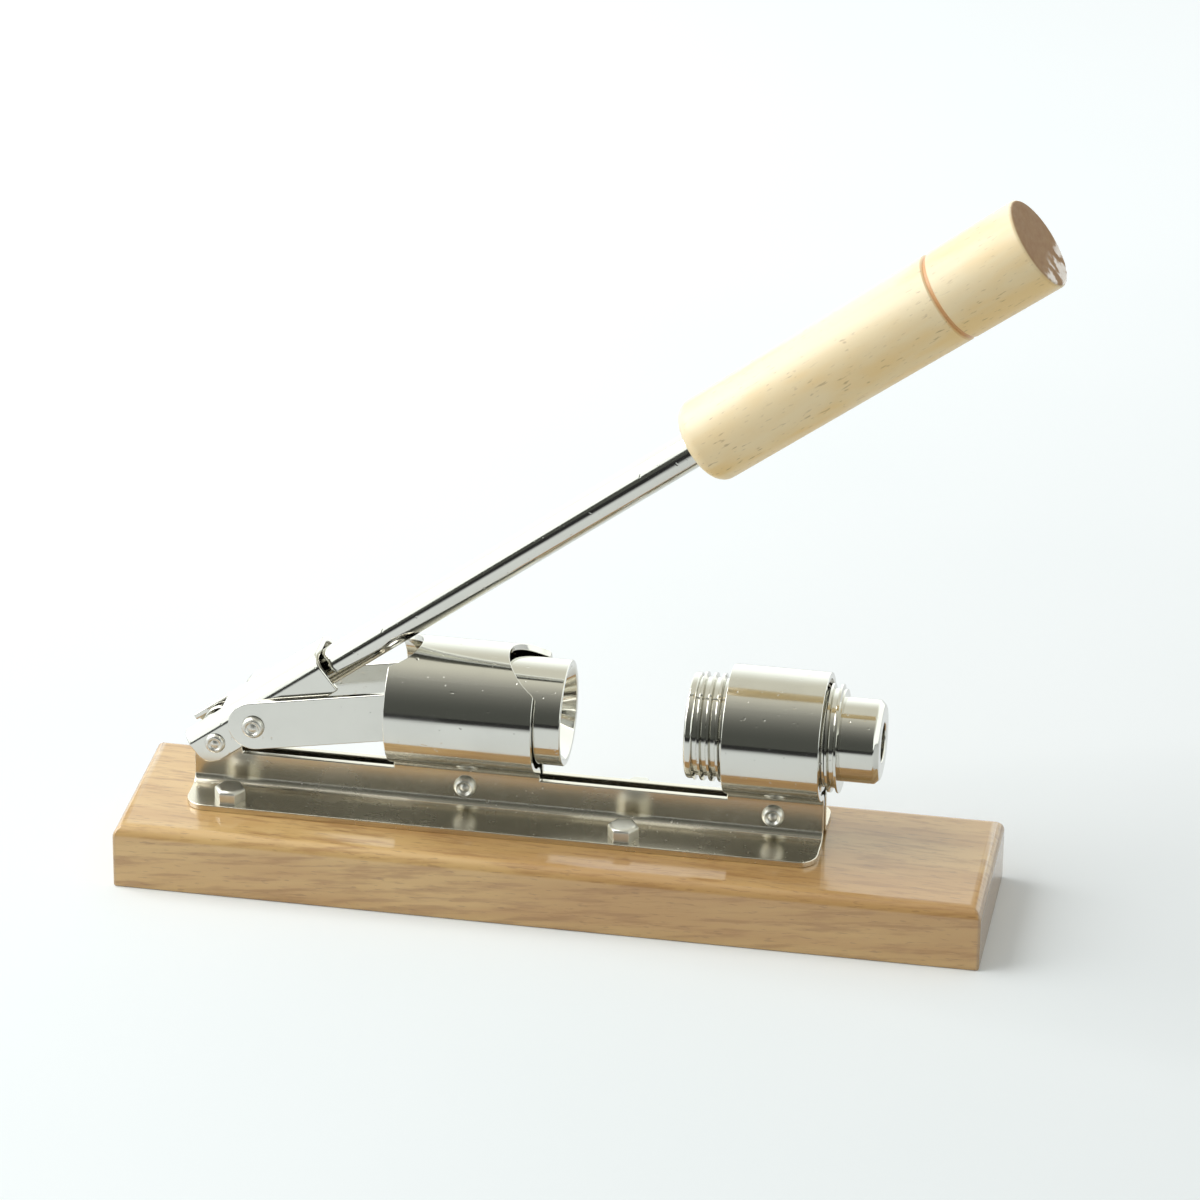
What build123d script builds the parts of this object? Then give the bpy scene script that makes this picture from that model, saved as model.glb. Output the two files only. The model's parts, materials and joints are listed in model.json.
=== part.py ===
"""Bench nutcracker: a lever on a folded bracket drives a ram against a screw anvil."""
from build123d import *
import math
import os

os.makedirs("parts", exist_ok=True)

# Base board. The origin is the middle of its underside, +X runs along it to the anvil.
BASE_LENGTH = 270.0
BASE_WIDTH = 60.0
BASE_THICKNESS = 21.0
BASE_END_ROUND = 4.0
BASE_EDGE_ROUND = 0.8

# Bracket, one folded sheet: two flanges, two webs and two loops, all about its mid plane.
MID_Y = 5.2
SHEET = 2.0
WEB_GAP = 3.2
BEND_INSIDE = 3.0
FLANGE_HALF_SPAN = 19.5
FLANGE_CORNER = 6.0
BRACKET_LEFT_X = -116.0
WEB_HEIGHT = 12.8
LOOP_BORE_R = 18.0
LOOP_AXIS_Z = 56.7
LEFT_LOOP_X = -52.7
LEFT_LOOP_LENGTH = 46.0
RIGHT_LOOP_X = 51.9
RIGHT_LOOP_LENGTH = 30.0
ROD_NOTCH_R = 10.8
ROD_NOTCH_DEPTH = 8.6
SHELL_NOTCH_R = 15.7
SHELL_NOTCH_DEPTH = 10.0
EAR_R = 6.6

# Fasteners.
SCREW_LEFT_X = -102.5
SCREW_RIGHT_X = 21.4
SCREW_OFFSET_Y = 13.7
SCREW_FLATS = 8.5
SCREW_HEAD_HEIGHT = 4.4
SCREW_HEAD_CHAMFER = 0.4
SCREW_SHANK_R = 2.5
SCREW_DEPTH_IN_BOARD = 14.0
SCREW_POINT_LENGTH = 3.0
SCREW_POINT_INSET = 2.0
SCREW_HOLE_CLEARANCE = 0.25
LEFT_RIVET_X = -30.2
RIGHT_RIVET_X = 66.3
RIVET_HEIGHT = 8.6
RIVET_SHANK_R = 2.0
RIVET_HEAD_R = 3.5
RIVET_HEAD_HEIGHT = 2.0

# Lever, in its own plane: s runs from the pivot along the rod, n is square to it.
PIVOT_X = -107.9
PIVOT_Z = 39.8
LEVER_ANGLE = 37.0
CRANK_LENGTH = 15.1
CRANK_ANGLE = 33.0
YOKE_HALF_WIDTH = 9.7
YOKE_SHEET = 2.0
YOKE_TOP_HEIGHT = 7.3
YOKE_BOTTOM_HEIGHT = -5.7
YOKE_HEEL_S = -7.7
YOKE_HEEL_ROUND = 5.5
YOKE_SLOT_END_S = 6.5
YOKE_SLOT_PLAY = 1.4
YOKE_LENGTH_S = 44.5
YOKE_BEND = 5.0
ROD_R = 5.5
ROD_START_S = 21.0
ROD_PIN_S = 40.0
ROD_PIN_R = 2.0
ROD_TANG = 95.0
HANDLE_START_S = 185.7
HANDLE_LENGTH = 124.5
HANDLE_FRONT_R = 13.4
HANDLE_END_R = 14.6
HANDLE_FRONT_ROUND = 4.5
HANDLE_END_ROUND = 1.2
GROOVE_FROM_END = 32.0
GROOVE_WIDTH = 2.0
GROOVE_DEPTH = 0.8
PIVOT_PIN_R = 2.5
PIVOT_HEAD_R = 3.2
PIVOT_HEAD_HEIGHT = 1.3
SPACER_WALL = 1.0

# Links from the lever to the ram.
LINK_LENGTH = 50.0
LINK_SHEET = 2.0
LINK_HALF_HEIGHT = 8.0
LINK_PIN_R = 2.5
LINK_HEAD_R = 3.6
LINK_HEAD_HEIGHT = 1.7
RAM_PIN_R = 2.0
RAM_PIN_HEAD_R = 6.5
RAM_PIN_HEAD_HEIGHT = 1.5
RAM_PIN_LOST_MOTION = 2.3

# Ram, from its pin to its nose.
RAM_SHOULDER = 9.5
RAM_BODY_LENGTH = 18.2
RAM_NOSE_LENGTH = 20.0
RAM_NOSE_R = 16.5
RAM_TONGUE_R = 7.0
RAM_CUP_R = 14.8
RAM_CUP_FLOOR_R = 4.0
RAM_CUP_DEPTH = 12.0
RAM_RIM_ROUND = 0.6

# Anvil: a cup on the nose of a hollow screw with a knob, in a threaded bush.
CUP_FACE_X = 39.8
CUP_LIP = 2.5
CUP_LIP_R = 16.4
CUP_SPIGOT_R = 13.0
CUP_SPIGOT_LENGTH = 10.0
CUP_MOUTH_R = 14.0
CUP_FLOOR_R = 4.0
CUP_DEPTH = 9.5
CUP_LIP_ROUND = 0.9
THREAD_LENGTH = 44.7
THREAD_PITCH = 2.8
THREAD_CREST_R = 16.75
THREAD_DEPTH = 1.45
THREAD_CREST_WIDTH = 0.7
THREAD_FLANK = 0.86
THREAD_PLAY = 0.4
THREAD_RUN_IN = 1.68
KNOB_R = 13.0
KNOB_LENGTH = 12.2
KNOB_CHAMFER = 1.6
KNOB_RECESS_R = 6.2
KNOB_RECESS_DEPTH = 4.0
BUSH_INSET = 0.8

# Fits between pieces.
PIN_FIT = 0.05
SLIDE_FIT = 0.10
SEAT_FIT = 0.02
SIDE_PLAY = 0.30

# Places that follow from the sizes above.
WEB_HALF = WEB_GAP / 2 + SHEET
LOOP_R = LOOP_BORE_R + SHEET
FLANGE_TOP_Z = BASE_THICKNESS + SHEET
WEB_TOP_Z = BASE_THICKNESS + WEB_HEIGHT
RIVET_Z = BASE_THICKNESS + RIVET_HEIGHT
LEFT_LOOP_END_X = LEFT_LOOP_X + LEFT_LOOP_LENGTH
BRACKET_RIGHT_X = RIGHT_LOOP_X + RIGHT_LOOP_LENGTH
BRACKET_LENGTH = BRACKET_RIGHT_X - BRACKET_LEFT_X
LINK_PIN_X = PIVOT_X + CRANK_LENGTH * math.cos(math.radians(CRANK_ANGLE))
LINK_PIN_Z = PIVOT_Z + CRANK_LENGTH * math.sin(math.radians(CRANK_ANGLE))
LINK_RISE = LOOP_AXIS_Z - LINK_PIN_Z
RAM_PIN_X = LINK_PIN_X + math.sqrt(LINK_LENGTH**2 - LINK_RISE**2)
LINK_ANGLE = math.degrees(math.asin(LINK_RISE / LINK_LENGTH))
LINK_INNER_Y = YOKE_HALF_WIDTH + SIDE_PLAY
LINK_OUTER_Y = LINK_INNER_Y + LINK_SHEET
YOKE_INNER_Y = YOKE_HALF_WIDTH - YOKE_SHEET
YOKE_INNER_BEND = YOKE_BEND - YOKE_SHEET
YOKE_BEND_N = YOKE_TOP_HEIGHT - YOKE_BEND
SPACER_R = PIVOT_PIN_R + SPACER_WALL
SPACER_RISE = max(0.0, SPACER_R - YOKE_BEND_N)
SPACER_END_Y = YOKE_INNER_Y - YOKE_INNER_BEND + math.sqrt(YOKE_INNER_BEND**2 - SPACER_RISE**2) - PIN_FIT
CRANK_S = CRANK_LENGTH * math.cos(math.radians(CRANK_ANGLE - LEVER_ANGLE))
CRANK_N = CRANK_LENGTH * math.sin(math.radians(CRANK_ANGLE - LEVER_ANGLE))
ROD_N = YOKE_TOP_HEIGHT - YOKE_SHEET - ROD_R - SEAT_FIT
ROD_END_S = HANDLE_START_S + ROD_TANG
HANDLE_END_S = HANDLE_START_S + HANDLE_LENGTH
RAM_BODY_R = LOOP_BORE_R - SLIDE_FIT
RAM_BODY_X = RAM_PIN_X + RAM_SHOULDER
RAM_NOSE_X = RAM_BODY_X + RAM_BODY_LENGTH
RAM_FACE_X = RAM_NOSE_X + RAM_NOSE_LENGTH
THREAD_X = CUP_FACE_X + CUP_LIP + PIN_FIT
THREAD_END_X = THREAD_X + THREAD_LENGTH
KNOB_END_X = THREAD_END_X + KNOB_LENGTH
THREAD_CORE_R = THREAD_CREST_R - THREAD_DEPTH
BUSH_X = RIGHT_LOOP_X + BUSH_INSET
BUSH_END_X = BRACKET_RIGHT_X - BUSH_INSET
BUSH_BORE_R = THREAD_CREST_R + THREAD_PLAY / 2

MID = Plane((0, MID_Y, 0), x_dir=(1, 0, 0), z_dir=(0, -1, 0))
LEVER = Plane(
    (PIVOT_X, MID_Y, PIVOT_Z),
    x_dir=(math.cos(math.radians(LEVER_ANGLE)), 0, math.sin(math.radians(LEVER_ANGLE))),
    z_dir=(0, -1, 0),
)
LINK = Plane(
    (LINK_PIN_X, MID_Y, LINK_PIN_Z),
    x_dir=(math.cos(math.radians(LINK_ANGLE)), 0, math.sin(math.radians(LINK_ANGLE))),
    z_dir=(0, -1, 0),
)
LOOP_AXIS = Axis((0, MID_Y, LOOP_AXIS_Z), (1, 0, 0))


def save(piece, name):
    """Label one piece and write it under its own name."""
    piece.label = name
    export_step(piece, f"parts/{name}.step")


def end_plane(x):
    """Plane square to the ram's axis, with its origin on that axis."""
    return Plane((x, MID_Y, LOOP_AXIS_Z), x_dir=(0, 1, 0), z_dir=(1, 0, 0))


def headed_pin(plane, at, shank_r, half_grip, head_r, head_height, dome):
    """Pin through the mid plane with a head at each end, domed or flat."""
    middle = Plane(plane.from_local_coords(Vector(*at, 0)), x_dir=(1, 0, 0), z_dir=(0, 0, 1))
    face = half_grip + head_height
    dome_r = (head_r**2 + head_height**2) / (2 * head_height)
    half_turn = math.asin(head_r / dome_r) / 2
    crown = (dome_r * math.sin(half_turn), face - dome_r * (1 - math.cos(half_turn)))
    with BuildPart() as pin:
        with BuildSketch(middle):
            with BuildLine():
                Line((0, 0), (0, face))
                if dome:
                    ThreePointArc((0, face), crown, (head_r, half_grip))
                else:
                    Polyline((0, face), (head_r, face), (head_r, half_grip))
                Polyline((head_r, half_grip), (shank_r, half_grip), (shank_r, 0), (0, 0))
            make_face()
        revolve(axis=Axis(middle.origin, (0, 1, 0)))
        mirror(about=middle.rotated((90, 0, 0)))
    return pin.part


# Base board: rounded over both ends on top, with pilot holes for the four screws.
SCREW_PLACES = {
    "screw_front_left": (SCREW_LEFT_X, MID_Y - SCREW_OFFSET_Y),
    "screw_front_right": (SCREW_RIGHT_X, MID_Y - SCREW_OFFSET_Y),
    "screw_rear_left": (SCREW_LEFT_X, MID_Y + SCREW_OFFSET_Y),
    "screw_rear_right": (SCREW_RIGHT_X, MID_Y + SCREW_OFFSET_Y),
}
SCREW_TIP_Z = BASE_THICKNESS - SCREW_DEPTH_IN_BOARD
with BuildPart() as base_board:
    with BuildSketch(Plane.XY):
        Rectangle(BASE_LENGTH, BASE_WIDTH)
    extrude(amount=BASE_THICKNESS)
    top = base_board.faces().sort_by(Axis.Z)[-1]
    fillet(top.edges().filter_by(Axis.Y), radius=BASE_END_ROUND)
    fillet(base_board.faces().sort_by(Axis.Z)[-1].edges().filter_by(Axis.X), radius=BASE_EDGE_ROUND)
    fillet(base_board.faces().sort_by(Axis.Z)[0].edges(), radius=BASE_EDGE_ROUND)
    with BuildSketch(Plane.XY.offset(BASE_THICKNESS)):
        with Locations(*SCREW_PLACES.values()):
            Circle(SCREW_SHANK_R + SEAT_FIT)
    extrude(amount=-SCREW_DEPTH_IN_BOARD, mode=Mode.SUBTRACT)
save(base_board.part, "base_board")

# Bracket: its section is folded once along the whole sheet and the spare loop is cut away.
with BuildPart() as bracket:
    with BuildSketch(Plane.YZ.offset(BRACKET_LEFT_X)) as section:
        with Locations((MID_Y, LOOP_AXIS_Z)):
            Circle(LOOP_R)
        with Locations((MID_Y, BASE_THICKNESS)):
            Rectangle(2 * WEB_HALF, LOOP_AXIS_Z - BASE_THICKNESS, align=(Align.CENTER, Align.MIN))
            Rectangle(2 * FLANGE_HALF_SPAN, SHEET, align=(Align.CENTER, Align.MIN))
        with Locations((MID_Y, LOOP_AXIS_Z)):
            Circle(LOOP_BORE_R, mode=Mode.SUBTRACT)
        with Locations((MID_Y, BASE_THICKNESS)):
            Rectangle(
                WEB_GAP, LOOP_AXIS_Z - BASE_THICKNESS, align=(Align.CENTER, Align.MIN), mode=Mode.SUBTRACT
            )
        folds = section.vertices()
        outer_folds = [v for v in folds if abs(abs(v.X - MID_Y) - WEB_HALF) < SEAT_FIT]
        fillet(outer_folds, radius=BEND_INSIDE)
        folds = section.vertices()
        inner_folds = [v for v in folds if abs(abs(v.X - MID_Y) - WEB_GAP / 2) < SEAT_FIT]
        fillet(inner_folds, radius=BEND_INSIDE + SHEET)
    extrude(amount=BRACKET_LENGTH)
    with BuildSketch(MID):
        with Locations((BRACKET_LEFT_X, WEB_TOP_Z)):
            Rectangle(LEFT_LOOP_X - BRACKET_LEFT_X, 2 * LOOP_R + LOOP_AXIS_Z, align=(Align.MIN, Align.MIN))
        with Locations((LEFT_LOOP_END_X, WEB_TOP_Z)):
            Rectangle(RIGHT_LOOP_X - LEFT_LOOP_END_X, 2 * LOOP_R + LOOP_AXIS_Z, align=(Align.MIN, Align.MIN))
        with BuildLine():
            Polyline(
                (BRACKET_LEFT_X, FLANGE_TOP_Z + BEND_INSIDE),
                (PIVOT_X - EAR_R, PIVOT_Z),
                (BRACKET_LEFT_X, PIVOT_Z),
                close=True,
            )
        make_face()
    extrude(amount=2 * LOOP_R, both=True, mode=Mode.SUBTRACT)
    with BuildSketch(MID):
        with Locations((PIVOT_X, PIVOT_Z)):
            Circle(EAR_R)
        with Locations((PIVOT_X, FLANGE_TOP_Z + BEND_INSIDE)):
            Rectangle(2 * (PIVOT_X - BRACKET_LEFT_X), SHEET, align=(Align.CENTER, Align.MIN))
        make_hull()
    extrude(amount=WEB_HALF, both=True)
    with BuildSketch(MID):
        with Locations((PIVOT_X, FLANGE_TOP_Z)):
            Rectangle(4 * EAR_R, PIVOT_Z + 2 * EAR_R, align=(Align.CENTER, Align.MIN))
    extrude(amount=WEB_GAP / 2, both=True, mode=Mode.SUBTRACT)
    with BuildSketch(MID):
        with Locations((PIVOT_X, PIVOT_Z)):
            Circle(PIVOT_PIN_R + SEAT_FIT)
        with Locations((LEFT_RIVET_X, RIVET_Z), (RIGHT_RIVET_X, RIVET_Z)):
            Circle(RIVET_SHANK_R + SEAT_FIT)
    extrude(amount=2 * WEB_HALF, both=True, mode=Mode.SUBTRACT)
    with BuildSketch(Plane.XY.offset(LOOP_AXIS_Z)):
        with Locations((LEFT_LOOP_X + ROD_NOTCH_DEPTH - ROD_NOTCH_R, MID_Y)):
            Circle(ROD_NOTCH_R)
        with Locations((LEFT_LOOP_END_X - SHELL_NOTCH_DEPTH + SHELL_NOTCH_R, MID_Y)):
            Circle(SHELL_NOTCH_R)
    extrude(amount=2 * LOOP_R, mode=Mode.SUBTRACT)
    with BuildSketch(Plane.XY.offset(BASE_THICKNESS)):
        with Locations(*SCREW_PLACES.values()):
            Circle(SCREW_SHANK_R + SCREW_HOLE_CLEARANCE)
    extrude(amount=SHEET, mode=Mode.SUBTRACT)
    corners = bracket.edges().filter_by(Axis.Z)
    flange_tips = [e for e in corners if abs(abs(e.center().Y - MID_Y) - FLANGE_HALF_SPAN) < SEAT_FIT]
    fillet(flange_tips, radius=FLANGE_CORNER)
save(bracket.part, "bracket")

# Hexagon wood screws that hold the flanges down.
for screw_name, (screw_x, screw_y) in SCREW_PLACES.items():
    with BuildPart() as wood_screw:
        with BuildSketch(Plane((screw_x, screw_y, FLANGE_TOP_Z))):
            RegularPolygon(SCREW_FLATS / 2, 6, major_radius=False)
        extrude(amount=SCREW_HEAD_HEIGHT)
        chamfer(wood_screw.faces().sort_by(Axis.Z)[-1].edges(), length=SCREW_HEAD_CHAMFER)
        with BuildSketch(Plane((screw_x, screw_y, SCREW_TIP_Z))):
            Circle(SCREW_SHANK_R)
        extrude(amount=FLANGE_TOP_Z - SCREW_TIP_Z)
        tip = wood_screw.faces().sort_by(Axis.Z)[0]
        chamfer(tip.edges(), length=SCREW_POINT_LENGTH, length2=SCREW_POINT_INSET)
    save(wood_screw.part, screw_name)

# Rivets that close the webs under each loop.
for rivet_name, rivet_x in {"rivet_left": LEFT_RIVET_X, "rivet_right": RIGHT_RIVET_X}.items():
    rivet = headed_pin(
        MID, (rivet_x, RIVET_Z), RIVET_SHANK_R, WEB_HALF, RIVET_HEAD_R, RIVET_HEAD_HEIGHT, dome=True
    )
    save(rivet, rivet_name)

# Lever pivot: one pin through both ears, with a spacer on each side inside the yoke.
pivot_pin = headed_pin(
    LEVER, (0, 0), PIVOT_PIN_R, YOKE_HALF_WIDTH + SEAT_FIT, PIVOT_HEAD_R, PIVOT_HEAD_HEIGHT, dome=True
)
save(pivot_pin, "pivot_pin")
for spacer_name, side in {"pivot_spacer_front": 1, "pivot_spacer_rear": -1}.items():
    with BuildPart() as spacer:
        with BuildSketch(MID.offset(side * WEB_HALF)):
            with Locations((PIVOT_X, PIVOT_Z)):
                Circle(SPACER_R)
                Circle(PIVOT_PIN_R + PIN_FIT, mode=Mode.SUBTRACT)
        extrude(amount=side * (SPACER_END_Y - WEB_HALF))
    save(spacer.part, spacer_name)

# Yoke: one sheet bent into a channel over the rod, with its back slotted at the heel for the ears.
YOKE_DEPTH = YOKE_TOP_HEIGHT - YOKE_BOTTOM_HEIGHT
HEEL = Plane(LEVER.from_local_coords(Vector(YOKE_HEEL_S, 0, 0)), x_dir=(0, 1, 0), z_dir=LEVER.x_dir)
with BuildPart() as lever_yoke:
    with BuildSketch(HEEL) as channel:
        with Locations((0, YOKE_TOP_HEIGHT)):
            Rectangle(2 * YOKE_HALF_WIDTH, YOKE_DEPTH, align=(Align.CENTER, Align.MAX))
        fillet(channel.vertices().group_by(Axis.Y)[-1], radius=YOKE_BEND)
        with Locations((0, YOKE_TOP_HEIGHT - YOKE_SHEET)):
            RectangleRounded(
                2 * YOKE_INNER_Y,
                2 * YOKE_DEPTH,
                YOKE_INNER_BEND,
                align=(Align.CENTER, Align.MAX),
                mode=Mode.SUBTRACT,
            )
    extrude(amount=YOKE_LENGTH_S - YOKE_HEEL_S)
    across = lever_yoke.edges().filter_by(Axis.Y)
    feet = across.sort_by(Axis(LEVER.origin, LEVER.y_dir))[:4].sort_by(Axis(LEVER.origin, LEVER.x_dir))[:2]
    fillet(feet, radius=YOKE_HEEL_ROUND)
    with BuildSketch(LEVER):
        with Locations((YOKE_HEEL_S, 0)):
            Rectangle(YOKE_SLOT_END_S - YOKE_HEEL_S, YOKE_DEPTH, align=(Align.MIN, Align.MIN))
    extrude(amount=WEB_HALF + YOKE_SLOT_PLAY, both=True, mode=Mode.SUBTRACT)
    with BuildSketch(LEVER):
        Circle(PIVOT_PIN_R + PIN_FIT)
        with Locations((CRANK_S, CRANK_N)):
            Circle(LINK_PIN_R + SEAT_FIT)
        with Locations((ROD_PIN_S, ROD_N)):
            Circle(ROD_PIN_R + SEAT_FIT)
    extrude(amount=2 * YOKE_HALF_WIDTH, both=True, mode=Mode.SUBTRACT)
save(lever_yoke.part, "lever_yoke")

# Rod: round bar from inside the yoke to deep inside the handle.
ROD_AXIS = Axis(LEVER.from_local_coords(Vector(0, ROD_N, 0)), LEVER.x_dir)
with BuildPart() as lever_rod:
    with BuildSketch(Plane(LEVER.from_local_coords(Vector(ROD_START_S, ROD_N, 0)), z_dir=LEVER.x_dir)):
        Circle(ROD_R)
    extrude(amount=ROD_END_S - ROD_START_S)
    with BuildSketch(LEVER):
        with Locations((ROD_PIN_S, ROD_N)):
            Circle(ROD_PIN_R + SEAT_FIT)
    extrude(amount=2 * ROD_R, both=True, mode=Mode.SUBTRACT)
save(lever_rod.part, "lever_rod")

with BuildPart() as rod_pin:
    with BuildSketch(LEVER):
        with Locations((ROD_PIN_S, ROD_N)):
            Circle(ROD_PIN_R)
    extrude(amount=YOKE_HALF_WIDTH, both=True)
save(rod_pin.part, "rod_pin")

# Handle: turned wood, a little thicker towards its end, with a burnt groove.
HANDLE_SLOPE = (HANDLE_END_R - HANDLE_FRONT_R) / HANDLE_LENGTH
GROOVE_S = HANDLE_END_S - GROOVE_FROM_END
with BuildPart() as handle:
    with BuildSketch(LEVER) as turning:
        with BuildLine():
            Polyline(
                (HANDLE_START_S, ROD_N),
                (HANDLE_START_S, ROD_N + HANDLE_FRONT_R),
                (HANDLE_END_S, ROD_N + HANDLE_END_R),
                (HANDLE_END_S, ROD_N),
                close=True,
            )
        make_face()
        rims = turning.vertices().sort_by(Axis.Y)[-2:].sort_by(Axis.X)
        fillet(rims[0], radius=HANDLE_FRONT_ROUND)
        fillet(turning.vertices().sort_by(Axis.Y)[-1], radius=HANDLE_END_ROUND)
        with Locations((HANDLE_START_S, ROD_N)):
            Rectangle(
                ROD_TANG + SEAT_FIT, ROD_R + SEAT_FIT, align=(Align.MIN, Align.MIN), mode=Mode.SUBTRACT
            )
        with Locations((GROOVE_S, ROD_N + HANDLE_END_R - HANDLE_SLOPE * GROOVE_FROM_END)):
            Rectangle(GROOVE_WIDTH, 2 * GROOVE_DEPTH, mode=Mode.SUBTRACT)
    revolve(axis=ROD_AXIS)
save(handle.part, "handle")

# Link pin through the yoke and both links.
link_pin = headed_pin(
    LINK, (0, 0), LINK_PIN_R, LINK_OUTER_Y + PIN_FIT, LINK_HEAD_R, LINK_HEAD_HEIGHT, dome=True
)
save(link_pin, "link_pin")

# Links: two flat plates whose far holes give the ram pin its lost motion.
for link_name, side in {"link_front": 1, "link_rear": -1}.items():
    with BuildPart() as link:
        with BuildSketch(LINK.offset(side * LINK_INNER_Y)):
            with Locations((LINK_LENGTH / 2, 0)):
                SlotCenterToCenter(LINK_LENGTH, 2 * LINK_HALF_HEIGHT)
            Circle(LINK_PIN_R + PIN_FIT, mode=Mode.SUBTRACT)
            with Locations((LINK_LENGTH, 0)):
                Circle(RAM_PIN_R + RAM_PIN_LOST_MOTION, mode=Mode.SUBTRACT)
        extrude(amount=side * LINK_SHEET)
    save(link.part, link_name)

# Ram: a piston with a tongue between the links and a cup in its nose.
with BuildPart() as ram:
    with BuildSketch(MID) as piston:
        with BuildLine():
            Polyline(
                (RAM_BODY_X, LOOP_AXIS_Z),
                (RAM_BODY_X, LOOP_AXIS_Z + RAM_BODY_R),
                (RAM_NOSE_X, LOOP_AXIS_Z + RAM_BODY_R),
                (RAM_NOSE_X, LOOP_AXIS_Z + RAM_NOSE_R),
                (RAM_FACE_X, LOOP_AXIS_Z + RAM_NOSE_R),
                (RAM_FACE_X, LOOP_AXIS_Z + RAM_CUP_R),
                (RAM_FACE_X - RAM_CUP_DEPTH, LOOP_AXIS_Z + RAM_CUP_FLOOR_R),
                (RAM_FACE_X - RAM_CUP_DEPTH, LOOP_AXIS_Z),
                close=True,
            )
        make_face()
        rim = piston.vertices().group_by(Axis.X)[-1].sort_by(Axis.Y)[-1]
        fillet(rim, radius=RAM_RIM_ROUND)
    revolve(axis=LOOP_AXIS)
    with BuildSketch(MID):
        with Locations((RAM_PIN_X, LOOP_AXIS_Z)):
            Circle(RAM_TONGUE_R)
            Rectangle(RAM_SHOULDER + RAM_TONGUE_R, 2 * RAM_TONGUE_R, align=(Align.MIN, Align.CENTER))
    extrude(amount=YOKE_HALF_WIDTH, both=True)
    with BuildSketch(MID):
        with Locations((RAM_PIN_X, LOOP_AXIS_Z)):
            Circle(RAM_PIN_R + SEAT_FIT)
    extrude(amount=2 * YOKE_HALF_WIDTH, both=True, mode=Mode.SUBTRACT)
save(ram.part, "ram")

ram_pin = headed_pin(
    LINK,
    (LINK_LENGTH, 0),
    RAM_PIN_R,
    LINK_OUTER_Y + SIDE_PLAY,
    RAM_PIN_HEAD_R,
    RAM_PIN_HEAD_HEIGHT,
    dome=False,
)
save(ram_pin, "ram_pin")


def thread_ridge(start_x, length, root_r, height, root_half, crest_half):
    """Helical ridge on a cylinder; a negative height stands inwards."""
    sink = -math.copysign(THREAD_DEPTH / 4, height)
    slope = (root_half - crest_half) / abs(height)
    with BuildLine() as coil:
        Helix(
            THREAD_PITCH, length, root_r, center=(start_x, MID_Y, LOOP_AXIS_Z), direction=(1, 0, 0)
        )
    foot = coil.line @ 0
    outwards = (foot - Vector(foot.X, MID_Y, LOOP_AXIS_Z)).normalized()
    with BuildSketch(Plane(foot, x_dir=outwards, z_dir=coil.line % 0)) as tooth:
        with BuildLine():
            wide = root_half + slope * abs(sink)
            Polyline((sink, -wide), (height, -crest_half), (height, crest_half), (sink, wide), close=True)
        make_face()
    with BuildPart() as ridge:
        sweep(tooth.sketch, path=coil.line, is_frenet=True)
    return ridge.part


# Threaded bush, fixed in the right loop, with its ridge half a pitch off the screw's.
RIDGE_X = THREAD_X + THREAD_RUN_IN
CREST_HALF = THREAD_CREST_WIDTH / 2
ROOT_HALF = CREST_HALF + THREAD_FLANK * THREAD_DEPTH / 2
BUSH_TOOTH = THREAD_DEPTH - THREAD_PLAY
BUSH_PITCHES = math.ceil((BUSH_X - RIDGE_X) / THREAD_PITCH + 0.5)
BUSH_RIDGE_X = RIDGE_X + THREAD_PITCH * (BUSH_PITCHES + 0.5)
BUSH_ROOT_HALF = THREAD_PITCH / 2 - CREST_HALF - THREAD_PLAY
with BuildPart() as threaded_bush:
    with BuildSketch(end_plane(BUSH_X)):
        Circle(LOOP_BORE_R - SEAT_FIT)
        Circle(BUSH_BORE_R, mode=Mode.SUBTRACT)
    extrude(amount=BUSH_END_X - BUSH_X)
    add(
        thread_ridge(
            BUSH_RIDGE_X,
            BUSH_END_X - BUSH_RIDGE_X - THREAD_PITCH,
            BUSH_BORE_R,
            -BUSH_TOOTH,
            BUSH_ROOT_HALF,
            BUSH_ROOT_HALF - THREAD_FLANK * BUSH_TOOTH / 2,
        )
    )
save(threaded_bush.part, "threaded_bush")

# Anvil screw: hollow at its nose for the cup, knob and shallow recess behind.
with BuildPart() as anvil_screw:
    with BuildSketch(end_plane(THREAD_X)):
        Circle(THREAD_CORE_R)
    extrude(amount=THREAD_LENGTH)
    with BuildSketch(end_plane(THREAD_END_X)):
        Circle(KNOB_R)
    extrude(amount=KNOB_LENGTH)
    chamfer(anvil_screw.faces().sort_by(Axis.X)[-1].edges(), length=KNOB_CHAMFER)
    with BuildSketch(end_plane(KNOB_END_X)):
        Circle(KNOB_RECESS_R)
    extrude(amount=-KNOB_RECESS_DEPTH, mode=Mode.SUBTRACT)
    with BuildSketch(end_plane(THREAD_X)):
        Circle(CUP_SPIGOT_R + PIN_FIT)
    extrude(amount=CUP_SPIGOT_LENGTH + SIDE_PLAY, mode=Mode.SUBTRACT)
    add(
        thread_ridge(
            RIDGE_X, THREAD_LENGTH - 2 * THREAD_RUN_IN, THREAD_CORE_R, THREAD_DEPTH, ROOT_HALF, CREST_HALF
        )
    )
save(anvil_screw.part, "anvil_screw")

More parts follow.
